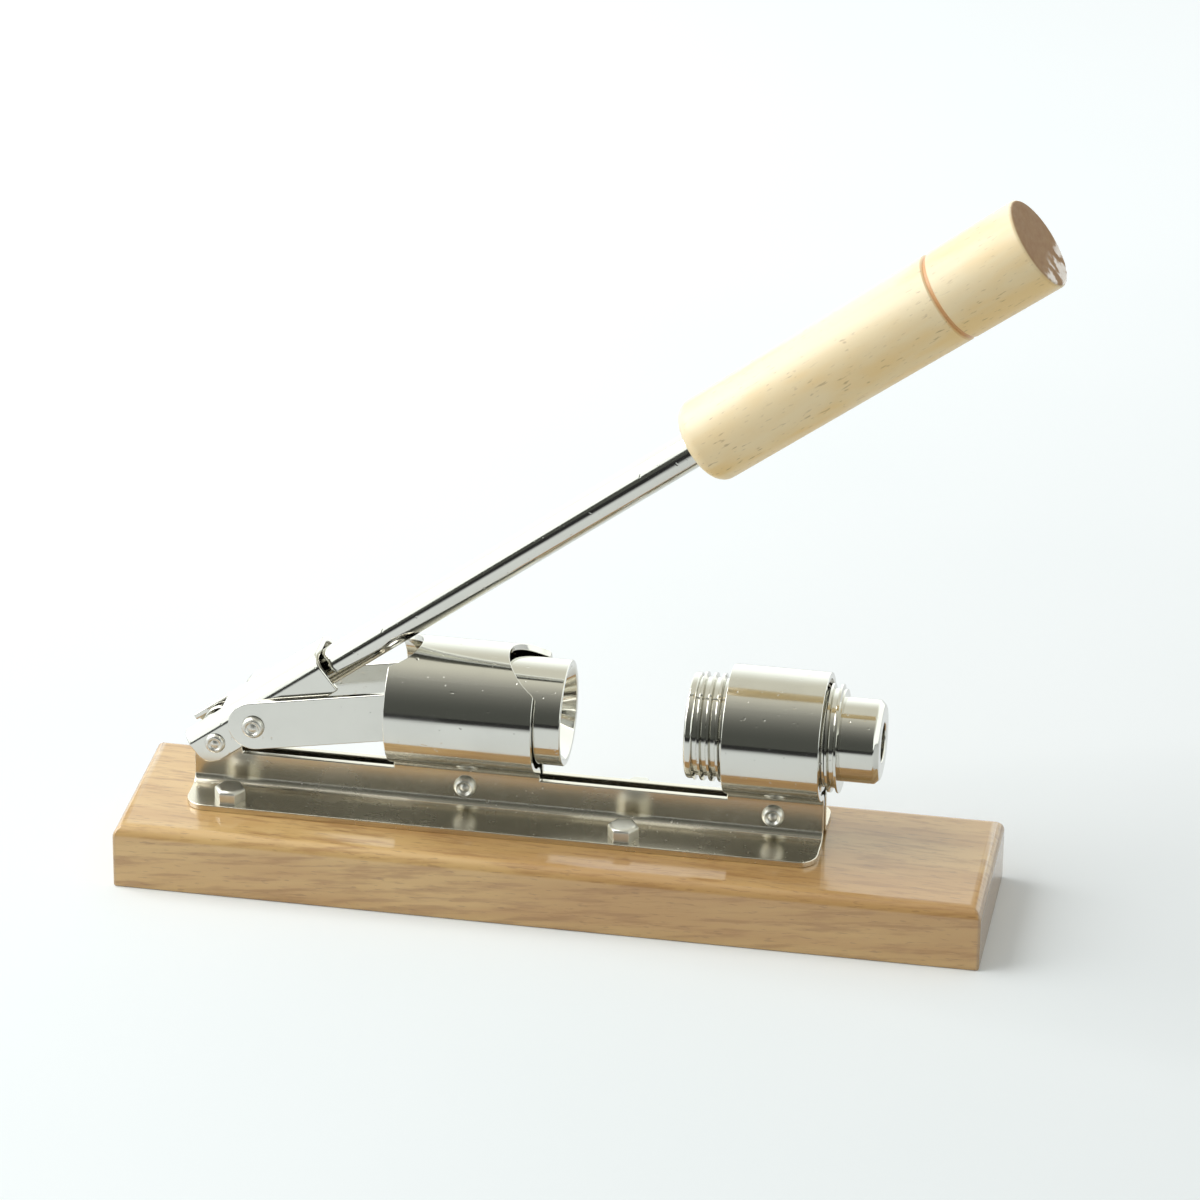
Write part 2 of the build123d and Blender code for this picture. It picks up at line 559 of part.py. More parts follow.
# Anvil cup: a lip and a spigot, turned with a conical hollow.
with BuildPart() as anvil_cup:
    with BuildSketch(MID) as cup:
        with BuildLine():
            Polyline(
                (CUP_FACE_X + CUP_DEPTH, LOOP_AXIS_Z),
                (CUP_FACE_X + CUP_DEPTH, LOOP_AXIS_Z + CUP_FLOOR_R),
                (CUP_FACE_X, LOOP_AXIS_Z + CUP_MOUTH_R),
                (CUP_FACE_X, LOOP_AXIS_Z + CUP_LIP_R),
                (CUP_FACE_X + CUP_LIP, LOOP_AXIS_Z + CUP_LIP_R),
                (CUP_FACE_X + CUP_LIP, LOOP_AXIS_Z + CUP_SPIGOT_R),
                (CUP_FACE_X + CUP_LIP + CUP_SPIGOT_LENGTH, LOOP_AXIS_Z + CUP_SPIGOT_R),
                (CUP_FACE_X + CUP_LIP + CUP_SPIGOT_LENGTH, LOOP_AXIS_Z),
                close=True,
            )
        make_face()
        lip = cup.vertices().sort_by(Axis.Y)[-2:]
        fillet(lip, radius=CUP_LIP_ROUND)
    revolve(axis=LOOP_AXIS)
save(anvil_cup.part, "anvil_cup")
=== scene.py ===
# %% [markdown]
# # A bench nutcracker
#
# The tool is a small press. One folded and plated steel sheet stands on a wooden board. A lever with
# a wooden handle pushes a round ram through the left loop of that sheet, and a thick screw in the
# right loop is the anvil. The CAD frame already says where each piece sits and how it moves, so this
# file only gives the pieces their looks.

import json
import math

import bpy
from mathutils import Matrix, Vector


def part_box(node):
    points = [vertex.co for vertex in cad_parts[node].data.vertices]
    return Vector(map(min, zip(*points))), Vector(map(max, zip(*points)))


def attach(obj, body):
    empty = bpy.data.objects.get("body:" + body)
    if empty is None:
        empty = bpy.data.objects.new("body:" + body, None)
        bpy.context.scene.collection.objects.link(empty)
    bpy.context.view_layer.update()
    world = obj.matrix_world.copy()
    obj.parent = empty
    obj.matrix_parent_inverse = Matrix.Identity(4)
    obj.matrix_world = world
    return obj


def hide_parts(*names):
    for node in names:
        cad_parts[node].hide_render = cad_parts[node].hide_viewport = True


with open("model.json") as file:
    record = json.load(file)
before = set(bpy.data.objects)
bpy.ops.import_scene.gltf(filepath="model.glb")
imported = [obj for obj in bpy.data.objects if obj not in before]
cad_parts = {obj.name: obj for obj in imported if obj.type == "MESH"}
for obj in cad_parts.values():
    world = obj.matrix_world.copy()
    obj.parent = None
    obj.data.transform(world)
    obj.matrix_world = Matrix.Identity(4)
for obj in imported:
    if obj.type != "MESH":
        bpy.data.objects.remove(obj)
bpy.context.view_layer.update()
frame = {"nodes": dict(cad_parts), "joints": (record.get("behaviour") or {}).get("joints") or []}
MM = 0.001

# %% [markdown]
# ## Tools of the lesson
#
# Every piece is made with the operators that a person would use: add a primitive, go to edit mode,
# extrude, bevel, spin. A few helpers keep the steps short. At the end a piece lies at the world's
# origin with its place written into the mesh, which is what the frame expects.


# %% Selecting, moving and copying
def only(obj):
    """Make one object the only selected and the active one."""
    bpy.ops.object.select_all(action="DESELECT")
    obj.select_set(True)
    bpy.context.view_layer.objects.active = obj
    return obj


def settle(obj, at=(0, 0, 0), turn=(0, 0, 0)):
    """Turn and move an object, then write that into its mesh."""
    only(obj)
    obj.rotation_euler = turn
    obj.location = at
    bpy.ops.object.transform_apply(location=True, rotation=True, scale=True)
    return obj


def twin(obj, name, shift):
    """A copy with its own mesh, moved by a shift."""
    only(obj)
    bpy.ops.object.duplicate(linked=False)
    copy = bpy.context.object
    copy.name = name
    return settle(copy, at=shift)


def join(obj, other):
    """Make two objects one, which keeps the first one's name."""
    only(obj)
    other.select_set(True)
    bpy.ops.object.join()


print("helpers:", [helper.__name__ for helper in (only, settle, twin, join)])


# %% Modifiers and handing over
def apply_modifier(obj, kind, **settings):
    """Add one modifier with its settings and apply it at once."""
    only(obj)
    modifier = obj.modifiers.new(kind.title(), kind)
    for key, value in settings.items():
        setattr(modifier, key, value)
    bpy.ops.object.modifier_apply(modifier=modifier.name)


def break_edges(obj, width, segments=3, sharper_than=50):
    """Round the edges that are sharper than an angle in degrees by a width in mm."""
    angle = math.radians(sharper_than)
    apply_modifier(obj, "BEVEL", width=width * MM, segments=segments, limit_method="ANGLE", angle_limit=angle)


SMOOTH_ANGLE = 40
NORMAL_WEIGHT = 80
pieces_of_slot = {}


def hand_over(obj, body, slot, *nodes):
    """Shade a piece, tie it to its body and let it stand for its CAD nodes."""
    only(obj)
    bpy.ops.object.shade_smooth_by_angle(angle=math.radians(SMOOTH_ANGLE))
    apply_modifier(obj, "WEIGHTED_NORMAL", keep_sharp=True, weight=NORMAL_WEIGHT)
    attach(obj, body)
    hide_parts(*nodes)
    pieces_of_slot.setdefault(slot, []).append(obj)
    size = [round(v / MM, 1) for v in obj.dimensions]
    print(f"{obj.name}: {len(obj.data.polygons)} faces, {size} mm, rides on {body}")


print("edges flatter than", SMOOTH_ANGLE, "degrees are shaded smooth")

# %% [markdown]
# ## Wires and turned shapes
#
# Half of this tool came off a lathe. Its profile is drawn as a wire: a plane merged to one vertex,
# which is then extruded from point to point. A vertex bevel breaks the corners, because plated metal
# never has knife edges, and a full spin about the X axis makes the solid. A spin leaves its first and
# last row on top of each other, so doubles are merged before the faces are turned outwards.


# %% Draw a wire and spin it
def draw_wire(name, points):
    """Extrude one vertex from point to point; the object stays in edit mode."""
    bpy.ops.object.select_all(action="DESELECT")
    bpy.ops.mesh.primitive_plane_add(size=MM, location=(0, 0, 0))
    wire = bpy.context.object
    wire.name = name
    bpy.ops.object.mode_set(mode="EDIT")
    bpy.ops.mesh.select_mode(type="VERT")
    bpy.ops.mesh.select_all(action="SELECT")
    bpy.ops.mesh.merge(type="CENTER")
    bpy.ops.transform.translate(value=points[0])
    for here, there in zip(points, points[1:]):
        bpy.ops.mesh.extrude_vertices_move(TRANSFORM_OT_translate={"value": tuple(there - here)})
    bpy.ops.mesh.select_all(action="SELECT")
    return wire


def extrude_by(x, y, z):
    """In edit mode, extrude what is selected by a step in mm."""
    bpy.ops.mesh.extrude_region_move(TRANSFORM_OT_translate={"value": (x * MM, y * MM, z * MM)})


WELD = 0.002
LATHE_STEPS = 96


def close_up():
    """In edit mode, merge doubles and turn all faces outwards, then leave edit mode."""
    bpy.ops.mesh.select_all(action="SELECT")
    bpy.ops.mesh.remove_doubles(threshold=WELD * MM)
    bpy.ops.mesh.normals_make_consistent(inside=False)
    bpy.ops.object.mode_set(mode="OBJECT")


def lathe(name, profile, rounding=0.0):
    """Turn a profile of (along, radius) points in mm about the X axis."""
    turned = draw_wire(name, [Vector((along, 0, radius)) * MM for along, radius in profile])
    if rounding:
        bpy.ops.mesh.bevel(affect="VERTICES", offset=rounding * MM, segments=3, clamp_overlap=True)
        bpy.ops.mesh.select_all(action="SELECT")
    bpy.ops.mesh.spin(steps=LATHE_STEPS, angle=math.tau, center=(0, 0, 0), axis=(1, 0, 0))
    close_up()
    return turned


def arc(centre, radius, first, last, steps):
    """Points in mm on an arc, with angles in degrees counted from the first axis."""
    angles = [math.radians(first + (last - first) * i / steps) for i in range(steps + 1)]
    return [(centre[0] + radius * math.cos(a), centre[1] + radius * math.sin(a)) for a in angles]


print("lathe ready with", LATHE_STEPS, "steps")

# %% [markdown]
# ## Selecting by place
#
# In the viewport one clicks the edges to bevel. In a script they are chosen by where they are: a small
# test gets a place in millimetres and says yes or no.


# %% Select vertices, edges or faces
HAIR = 0.01


def deselected_mesh(obj):
    """Leave edit mode and return the mesh with nothing in it selected."""
    bpy.ops.object.mode_set(mode="OBJECT")
    mesh = obj.data
    for elements in (mesh.vertices, mesh.edges, mesh.polygons):
        elements.foreach_set("select", [False] * len(elements))
    return mesh


def edit_selected(obj, kind):
    """Go to edit mode with vertices, edges or faces as the kind that is selected."""
    only(obj)
    bpy.context.tool_settings.mesh_select_mode = [kind == each for each in ("VERT", "EDGE", "FACE")]
    bpy.ops.object.mode_set(mode="EDIT")


def select_vertices(obj, wanted):
    """Select the vertices that pass a test on their place in mm."""
    mesh = deselected_mesh(obj)
    mesh.vertices.foreach_set("select", [wanted(*(v.co / MM)) for v in mesh.vertices])
    edit_selected(obj, "VERT")


def select_edges(obj, wanted):
    """Select the edges whose two ends both pass a test on their place in mm."""
    mesh = deselected_mesh(obj)
    good = [wanted(*(v.co / MM)) for v in mesh.vertices]
    mesh.edges.foreach_set("select", [all(good[i] for i in e.vertices) for e in mesh.edges])
    edit_selected(obj, "EDGE")


def select_faces(obj, wanted):
    """Select the faces whose middle passes a test on its place in mm, and count them."""
    mesh = deselected_mesh(obj)
    chosen = [wanted(*(f.center / MM)) for f in mesh.polygons]
    mesh.polygons.foreach_set("select", chosen)
    edit_selected(obj, "FACE")
    return sum(chosen)


print("places are compared within", HAIR, "mm")

# %% [markdown]
# ## The board
#
# The real board is one lacquered plank whose two ends are rounded over on top. A cube of the board's
# size is enough to start with. The top end edges get a wide bevel in edit mode, and a Bevel modifier
# breaks the other edges a little.


# %% Make the board
def block(name, low, high):
    """A cube primitive stretched between two corners given in mm."""
    low, high = Vector(low) * MM, Vector(high) * MM
    bpy.ops.object.select_all(action="DESELECT")
    bpy.ops.mesh.primitive_cube_add(size=1, location=(low + high) / 2)
    cube = bpy.context.object
    cube.name = name
    cube.scale = high - low
    bpy.ops.object.transform_apply(location=True, rotation=True, scale=True)
    return cube


board_low, board_high = (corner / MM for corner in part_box("base_board"))
BOARD_END_ROUND = 4.0
BOARD_EDGE_ROUND = 0.8

board = block("board_plank", board_low, board_high)
select_edges(board, lambda x, y, z: abs(abs(x) - board_high.x) < HAIR and z > board_high.z - HAIR)
bpy.ops.mesh.bevel(offset=BOARD_END_ROUND * MM, segments=8)
bpy.ops.object.mode_set(mode="OBJECT")
break_edges(board, BOARD_EDGE_ROUND)
hand_over(board, "frame", "base_wood", "base_board")

# %% [markdown]
# ## The folded bracket
#
# The bracket is one sheet of steel, 2 mm thick: a flange on the board, a web, a loop round the ram,
# and down again on the other side. So its section is drawn as half a wire along the middle of the
# sheet, pulled along X, mirrored, and given its thickness with a Solidify modifier. The loop is wanted
# only in two places, so the faces above the web are deleted everywhere else.

# %% Half a section along the middle of the sheet
MID_Y = (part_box("ram")[0].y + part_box("ram")[1].y) / 2 / MM
AXIS_Z = (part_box("anvil_cup")[0].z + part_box("anvil_cup")[1].z) / 2 / MM
SHEET = 2.0
LOOP_R = 19.0
WEB_Y = 2.6
WEB_HEIGHT = 12.8
FOLD_R = 4.0
LOOP_STEPS, FOLD_STEPS = 60, 8
FLANGE_Y = 19.5
FLANGE_Z = board_high.z + SHEET / 2
WEB_TOP_Z = board_high.z + WEB_HEIGHT

neck_drop = math.sqrt((LOOP_R + FOLD_R) ** 2 - (WEB_Y + FOLD_R) ** 2)
neck_angle = math.degrees(math.atan2(neck_drop, WEB_Y + FOLD_R))
neck_z = AXIS_Z - neck_drop
section = arc((0, AXIS_Z), LOOP_R, 90, -neck_angle, LOOP_STEPS)
section += arc((WEB_Y + FOLD_R, neck_z), FOLD_R, 180 - neck_angle, 180, FOLD_STEPS)[1:]
section += [(WEB_Y, WEB_TOP_Z)]
section += arc((WEB_Y + FOLD_R, FLANGE_Z + FOLD_R), FOLD_R, 180, 270, FOLD_STEPS)
section += [(FLANGE_Y, FLANGE_Z)]
print("section wire:", len(section), "points, neck at z", round(neck_z, 2))

# %% Pull the section along X
BRACKET_LEFT_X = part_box("bracket")[0].x / MM
BRACKET_RIGHT_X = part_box("bracket")[1].x / MM
LEFT_LOOP_X = -52.7
LEFT_LOOP_END_X = -6.7
RIGHT_LOOP_X = 51.9
PIVOT_X, _, PIVOT_Z = (v / MM for v in frame["joints"][0]["pos_m"])
EAR_R = 6.6
EAR_FOOT = 7.3
stations = [BRACKET_LEFT_X, PIVOT_X - EAR_FOOT, PIVOT_X + EAR_FOOT, LEFT_LOOP_X, LEFT_LOOP_END_X]
stations += [RIGHT_LOOP_X, BRACKET_RIGHT_X]

wire_points = [Vector((BRACKET_LEFT_X, MID_Y + y, z)) * MM for y, z in section]
bracket = draw_wire("bracket_sheet", wire_points)
for here, there in zip(stations, stations[1:]):
    extrude_by(there - here, 0, 0)
bpy.ops.object.mode_set(mode="OBJECT")
print("half sheet:", len(bracket.data.polygons), "faces")


# %% Cut the spare loop away
def beside_loops(x, y, z):
    """True above the web where the sheet has no loop."""
    return z > WEB_TOP_Z and (x < LEFT_LOOP_X or LEFT_LOOP_END_X < x < RIGHT_LOOP_X)


spare = select_faces(bracket, beside_loops)
bpy.ops.mesh.delete(type="FACE")
bpy.ops.object.mode_set(mode="OBJECT")
print("spare loop faces deleted:", spare)

# %% [markdown]
# The left loop is scooped out at both ends on its upper half: the left scoop lets the lever's links
# swing, the right one lets shell fall out. In plan each scoop is a circle, so the end vertices only
# have to slide along X as far as that circle says.

# %% Scoop both ends of the left loop
LINK_SCOOP_R, LINK_SCOOP_DEPTH = 10.8, 8.6
SHELL_SCOOP_R, SHELL_SCOOP_DEPTH = 15.7, 10.0


def scoop(obj, end_x, radius, depth, inwards):
    """Slide the upper end vertices of a loop inwards onto a circle in plan."""
    moved = 0
    for vertex in obj.data.vertices:
        x, y, z = vertex.co / MM
        aside = abs(y - MID_Y)
        reach = depth - radius + math.sqrt(max(radius**2 - aside**2, 0))
        if abs(x - end_x) < HAIR and z > AXIS_Z and aside < radius and reach > 0:
            vertex.co.x = (end_x + inwards * reach) * MM
            moved += 1
    return moved


left_scoop = scoop(bracket, LEFT_LOOP_X, LINK_SCOOP_R, LINK_SCOOP_DEPTH, 1)
right_scoop = scoop(bracket, LEFT_LOOP_END_X, SHELL_SCOOP_R, SHELL_SCOOP_DEPTH, -1)
print("scooped vertices:", left_scoop, right_scoop)

# %% [markdown]
# The lever hangs between two ears that rise from the web. Each is grown from the web's top edge: extrude
# it upwards, scale it in, and repeat along a half circle until the ear is closed on top.

# %% Grow the ears
EAR_ANGLES = (0, 15, 30, 45, 60, 72, 84)

select_edges(
    bracket, lambda x, y, z: abs(z - WEB_TOP_Z) < HAIR and abs(abs(x - PIVOT_X) - EAR_FOOT) < HAIR
)
ear_z, ear_half = WEB_TOP_Z, EAR_FOOT
for angle in map(math.radians, EAR_ANGLES):
    row_z, row_half = PIVOT_Z + EAR_R * math.sin(angle), EAR_R * math.cos(angle)
    extrude_by(0, 0, row_z - ear_z)
    bpy.ops.transform.resize(
        value=(row_half / ear_half, 1, 1), center_override=(PIVOT_X * MM, MID_Y * MM, row_z * MM)
    )
    ear_z, ear_half = row_z, row_half
bpy.ops.object.mode_set(mode="OBJECT")
print("ear top at z", round(ear_z, 2))

# %% [markdown]
# A vertex bevel rounds the two outer corners of the flange, and the mirror will make them four. A bevel
# ends at the next vertex. On the left that is the line of the ear's foot, which is first moved away.

# %% Round the flange corners
FLANGE_CORNER = 6.0


def flange_edge_at(*places):
    """A test for the flange's outer edge at given places along X."""
    return lambda x, y, z: abs(y - MID_Y - FLANGE_Y) < HAIR and min(abs(x - p) for p in places) < HAIR


select_vertices(bracket, flange_edge_at(PIVOT_X - EAR_FOOT))
bpy.ops.transform.translate(value=(FLANGE_CORNER * MM, 0, 0))
select_vertices(bracket, flange_edge_at(BRACKET_LEFT_X, BRACKET_RIGHT_X))
bpy.ops.mesh.bevel(affect="VERTICES", offset=FLANGE_CORNER * MM, segments=8)
bpy.ops.object.mode_set(mode="OBJECT")
print("flange corners rounded by", FLANGE_CORNER, "mm")

# %% [markdown]
# Now the half sheet is mirrored about the middle of the tool. Solidify has to know which side is out, so
# the normals are made consistent first. The small bevel comes last, on the finished thickness.

# %% Mirror, thicken and break the edges
SHEET_EDGE = 0.4

settle(bracket, at=(0, -MID_Y * MM, 0))
apply_modifier(
    bracket, "MIRROR", use_axis=(False, True, False), use_mirror_merge=True, merge_threshold=HAIR * MM
)
settle(bracket, at=(0, MID_Y * MM, 0))
bpy.ops.object.mode_set(mode="EDIT")
close_up()
apply_modifier(bracket, "SOLIDIFY", thickness=SHEET * MM, offset=0, use_even_offset=True)
break_edges(bracket, SHEET_EDGE, sharper_than=55)
hand_over(bracket, "frame", "bright_sheet", "bracket")

# %% [markdown]
# ## Screws and rivets
#
# Four hexagon screws hold the flanges on the board. A hexagon head is a six-sided cylinder with a bevel
# on top. Its lower face is inset to the shank and extruded down into the board. One screw is modelled
# and the other three are copies of it, each with its own mesh.

# %% Hexagon screws
SCREW_FLATS = 8.5
SCREW_HEAD = 4.4
SCREW_CHAMFER = 1.3
SCREW_SHANK_R = 2.5
SCREW_EDGE = 0.15


def hexagon_screw(name, node):
    """A hexagon head on the flange with a plain shank down into the board."""
    low, high = (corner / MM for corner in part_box(node))
    middle = (low + high) / 2
    flange_top = high.z - SCREW_HEAD
    bpy.ops.object.select_all(action="DESELECT")
    bpy.ops.mesh.primitive_cylinder_add(
        vertices=6,
        radius=SCREW_FLATS / math.sqrt(3) * MM,
        depth=SCREW_HEAD * MM,
        location=(middle.x * MM, middle.y * MM, (flange_top + SCREW_HEAD / 2) * MM),
        rotation=(0, 0, math.radians(30)),
    )
    screw = bpy.context.object
    screw.name = name
    bpy.ops.object.transform_apply(location=True, rotation=True, scale=True)
    select_edges(screw, lambda x, y, z: z > high.z - HAIR)
    bpy.ops.mesh.bevel(offset=SCREW_CHAMFER * MM, segments=4, profile=0.5)
    select_faces(screw, lambda x, y, z: z < flange_top + HAIR)
    bpy.ops.mesh.inset(thickness=(SCREW_FLATS / 2 - SCREW_SHANK_R) * MM)
    extrude_by(0, 0, low.z - flange_top)
    bpy.ops.object.mode_set(mode="OBJECT")
    break_edges(screw, SCREW_EDGE, segments=2)
    return screw


first_screw = hexagon_screw("hexagon_front_left", "screw_front_left")
screws = {"front_left": first_screw}
for corner in ("front_right", "rear_left", "rear_right"):
    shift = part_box(f"screw_{corner}")[0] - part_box("screw_front_left")[0]
    screws[corner] = twin(first_screw, f"hexagon_{corner}", shift)
for corner, screw in screws.items():
    hand_over(screw, "frame", "bright_fastener", f"screw_{corner}")

# %% [markdown]
# Two round rivets close the webs under the loops, and the lever and its links turn on riveted pins. A
# rivet is a turned shape, laid along Y. The riveting tool has left a rounded rim with a ring-shaped dent
# in its head at both ends, so the head's profile is drawn once, in shares of its height and radius.

# %% Pins and rivets with heads
RIVET_RIM = [(0, 1.0), (0.28, 0.99), (0.55, 0.95), (0.78, 0.88), (0.93, 0.79), (1.0, 0.70), (0.95, 0.62)]
RIVET_DENT = [(0.80, 0.56), (0.66, 0.50), (0.62, 0.44), (0.68, 0.36), (0.80, 0.26), (0.88, 0.13), (0.90, 0)]
FLAT_HEAD_EDGE = 0.3


def headed_pin(name, node, shank_r, head_r, head_height, riveted=True):
    """A pin along Y in the middle of its CAD node, with a riveted or flat head at each end."""
    low, high = (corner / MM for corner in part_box(node))
    face = (high.y - low.y) / 2
    grip = face - head_height
    if riveted:
        head = [(grip + rise * head_height, reach * head_r) for rise, reach in RIVET_RIM + RIVET_DENT]
    else:
        head = [(grip, head_r), (face, head_r), (face, 0)]
    right = [(grip, shank_r)] + head
    left = [(-along, radius) for along, radius in reversed(right)]
    pin = lathe(name, left + right, rounding=0.0 if riveted else FLAT_HEAD_EDGE)
    return settle(pin, at=(low + high) / 2 * MM, turn=(0, 0, math.radians(90)))


left_rivet = headed_pin("round_rivet_left", "rivet_left", shank_r=2.0, head_r=3.5, head_height=2.0)
right_rivet = twin(left_rivet, "round_rivet_right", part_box("rivet_right")[0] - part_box("rivet_left")[0])
pivot_rivet = headed_pin("pivot_rivet", "pivot_pin", shank_r=2.5, head_r=3.2, head_height=1.3)
link_rivet = headed_pin("link_rivet", "link_pin", shank_r=2.5, head_r=3.6, head_height=1.7)
ram_cross_pin = headed_pin(
    "ram_cross_pin", "ram_pin", shank_r=2.0, head_r=6.5, head_height=1.5, riveted=False
)
hand_over(left_rivet, "frame", "bright_fastener", "rivet_left")
hand_over(right_rivet, "frame", "bright_fastener", "rivet_right")
hand_over(pivot_rivet, "frame", "bright_fastener", "pivot_pin")
hand_over(link_rivet, "lever", "bright_fastener", "link_pin")
hand_over(ram_cross_pin, "ram", "bright_fastener", "ram_pin")

# %% [markdown]
# ## The ram
#
# The ram is a plated piston. Its nose is a thin rim round a conical cup that takes one end of the nut,
# and a tongue at the back sits between the two links. The piston is turned, the tongue is a block with
# its rear edges rounded to a half circle, and both are joined to one piece.

# %% Turn the piston
ram_low, ram_high = (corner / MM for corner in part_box("ram"))
TURNED_EDGE = 0.5
RAM_TONGUE_R = 7.0
RAM_TONGUE_REACH = 9.5
RAM_BODY_R = 17.9
RAM_NOSE_R = 16.5
RAM_NOSE_LENGTH = 20.0
RAM_CUP_R, RAM_CUP_FLOOR_R, RAM_CUP_DEPTH = 14.8, 4.0, 12.0
RAM_FACE_X = ram_high.x
RAM_BODY_X = ram_low.x + RAM_TONGUE_R + RAM_TONGUE_REACH
RAM_NOSE_X = RAM_FACE_X - RAM_NOSE_LENGTH
RAM_FLOOR_X = RAM_FACE_X - RAM_CUP_DEPTH

ram_profile = [(RAM_BODY_X, 0), (RAM_BODY_X, RAM_BODY_R), (RAM_NOSE_X, RAM_BODY_R), (RAM_NOSE_X, RAM_NOSE_R)]
ram_profile += [(RAM_FACE_X, RAM_NOSE_R), (RAM_FACE_X, RAM_CUP_R)]
ram_profile += [(RAM_FLOOR_X, RAM_CUP_FLOOR_R), (RAM_FLOOR_X, 0)]
ram = lathe("ram_piston", ram_profile, rounding=TURNED_EDGE)
AXIS_AT = Vector((0, MID_Y, AXIS_Z)) * MM
settle(ram, at=AXIS_AT)
print("piston from x", round(RAM_BODY_X, 1), "to", round(RAM_FACE_X, 1))

# %% Add the tongue
TONGUE_HALF = 9.7
TONGUE_ROOT = 1.0
PARALLEL = 0.999


def select_edges_along(obj, axis, wanted):
    """Select the edges that run along one axis and pass a test on their middle in mm."""
    mesh = deselected_mesh(obj)
    for edge in mesh.edges:
        first, second = (mesh.vertices[i].co for i in edge.vertices)
        run = (second - first).normalized()
        edge.select = abs(run[axis]) > PARALLEL and wanted(*((first + second) / 2 / MM))
    edit_selected(obj, "EDGE")


tongue = block(
    "ram_tongue",
    (ram_low.x, MID_Y - TONGUE_HALF, AXIS_Z - RAM_TONGUE_R),
    (RAM_BODY_X + TONGUE_ROOT, MID_Y + TONGUE_HALF, AXIS_Z + RAM_TONGUE_R),
)
select_edges_along(tongue, 1, lambda x, y, z: x < ram_low.x + HAIR)
bpy.ops.mesh.bevel(offset=(RAM_TONGUE_R - HAIR) * MM, segments=12)
bpy.ops.object.mode_set(mode="OBJECT")
join(ram, tongue)
hand_over(ram, "ram", "bright_turned", "ram")

# %% [markdown]
# ## The anvil
#
# The anvil is a thick screw with a plain lipped cup on its nose and a knob behind. A thread is the
# classic use of the Screw modifier: one pitch of the profile, a screw offset of one pitch, and as many
# turns as fit. Where one turn ends and the next begins there are doubled vertices, which are merged.

# %% One pitch of thread, screwed along X
THREAD_PITCH = 2.8
THREAD_CREST_R = 16.75
THREAD_CORE_R = 15.3
THREAD_ROOT, THREAD_FLANK = 0.55, 0.5
LEAD_TURNS, TURNS = 2, 18
THREAD_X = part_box("anvil_screw")[0].x / MM
KNOB_END_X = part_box("anvil_screw")[1].x / MM
crest_from = THREAD_ROOT + THREAD_FLANK
half_pitch = [(0, THREAD_CORE_R), (THREAD_ROOT, THREAD_CORE_R), (crest_from, THREAD_CREST_R)]
pitch_profile = half_pitch + [(THREAD_PITCH - along, radius) for along, radius in reversed(half_pitch)]

thread = draw_wire("anvil_thread", [Vector((along, 0, radius)) * MM for along, radius in pitch_profile])
bpy.ops.object.mode_set(mode="OBJECT")
apply_modifier(
    thread,
    "SCREW",
    axis="X",
    angle=math.tau,
    screw_offset=THREAD_PITCH * MM,
    iterations=TURNS,
    steps=LATHE_STEPS,
    render_steps=LATHE_STEPS,
    use_merge_vertices=True,
    merge_threshold=WELD * MM,
)
settle(thread, at=Vector((THREAD_X - LEAD_TURNS * THREAD_PITCH, MID_Y, AXIS_Z)) * MM)
bpy.ops.object.mode_set(mode="EDIT")
close_up()
print("thread:", len(thread.data.polygons), "faces from", TURNS, "turns")

# %% [markdown]
# The two ends are cut flat with Bisect, which also fills them. The nose is then bored by an inset and an
# inward extrusion, so that the cup's spigot fits in.

# %% Cut the thread to length and bore its nose
KNOB_LENGTH = 12.2
THREAD_END_X = KNOB_END_X - KNOB_LENGTH
NOSE_WALL, NOSE_DEPTH = 2.0, 10.4
CUT_SNAP = 0.001


def cut_flat(at_x, keep_right):
    """In edit mode, cut all of a mesh at one place along X and fill the cut."""
    bpy.ops.mesh.select_all(action="SELECT")
    sides = {"clear_inner": keep_right, "clear_outer": not keep_right}
    plane = {"plane_co": (at_x * MM, 0, 0), "plane_no": (1, 0, 0)}
    bpy.ops.mesh.bisect(**plane, **sides, use_fill=True, threshold=CUT_SNAP * MM)


def on_nose(x, y, z):
    """True in the middle of the thread's front face."""
    return abs(x - THREAD_X) < HAIR and math.hypot(y - MID_Y, z - AXIS_Z) < NOSE_WALL


only(thread)
bpy.ops.object.mode_set(mode="EDIT")
cut_flat(THREAD_X, keep_right=True)
cut_flat(THREAD_END_X, keep_right=False)
select_faces(thread, on_nose)
bpy.ops.mesh.inset(thickness=NOSE_WALL * MM)
extrude_by(NOSE_DEPTH, 0, 0)
close_up()
print("thread cut to", round(THREAD_END_X - THREAD_X, 1), "mm:", len(thread.data.polygons), "faces")

# %% [markdown]
# Knob and cup came off the lathe too. The knob has a chamfer and a recess in its end, and is joined to
# the thread. The cup stays a piece of its own: it slides with the screw without turning.

# %% Knob and cup
KNOB_R = 13.0
KNOB_CHAMFER = 1.6
KNOB_ROOT = 1.0
KNOB_RECESS_R, KNOB_RECESS_DEPTH = 6.2, 4.0
KNOB_RECESS_X = KNOB_END_X - KNOB_RECESS_DEPTH
KNOB_ROOT_X = THREAD_END_X - KNOB_ROOT
knob_profile = [(KNOB_ROOT_X, 0), (KNOB_ROOT_X, KNOB_R), (KNOB_END_X - KNOB_CHAMFER, KNOB_R)]
knob_profile += [(KNOB_END_X, KNOB_R - KNOB_CHAMFER), (KNOB_END_X, KNOB_RECESS_R)]
knob_profile += [(KNOB_RECESS_X, KNOB_RECESS_R), (KNOB_RECESS_X, 0)]
knob = lathe("anvil_knob", knob_profile, rounding=TURNED_EDGE)
settle(knob, at=AXIS_AT)
join(thread, knob)
hand_over(thread, "anvil_screw", "bright_turned", "anvil_screw")

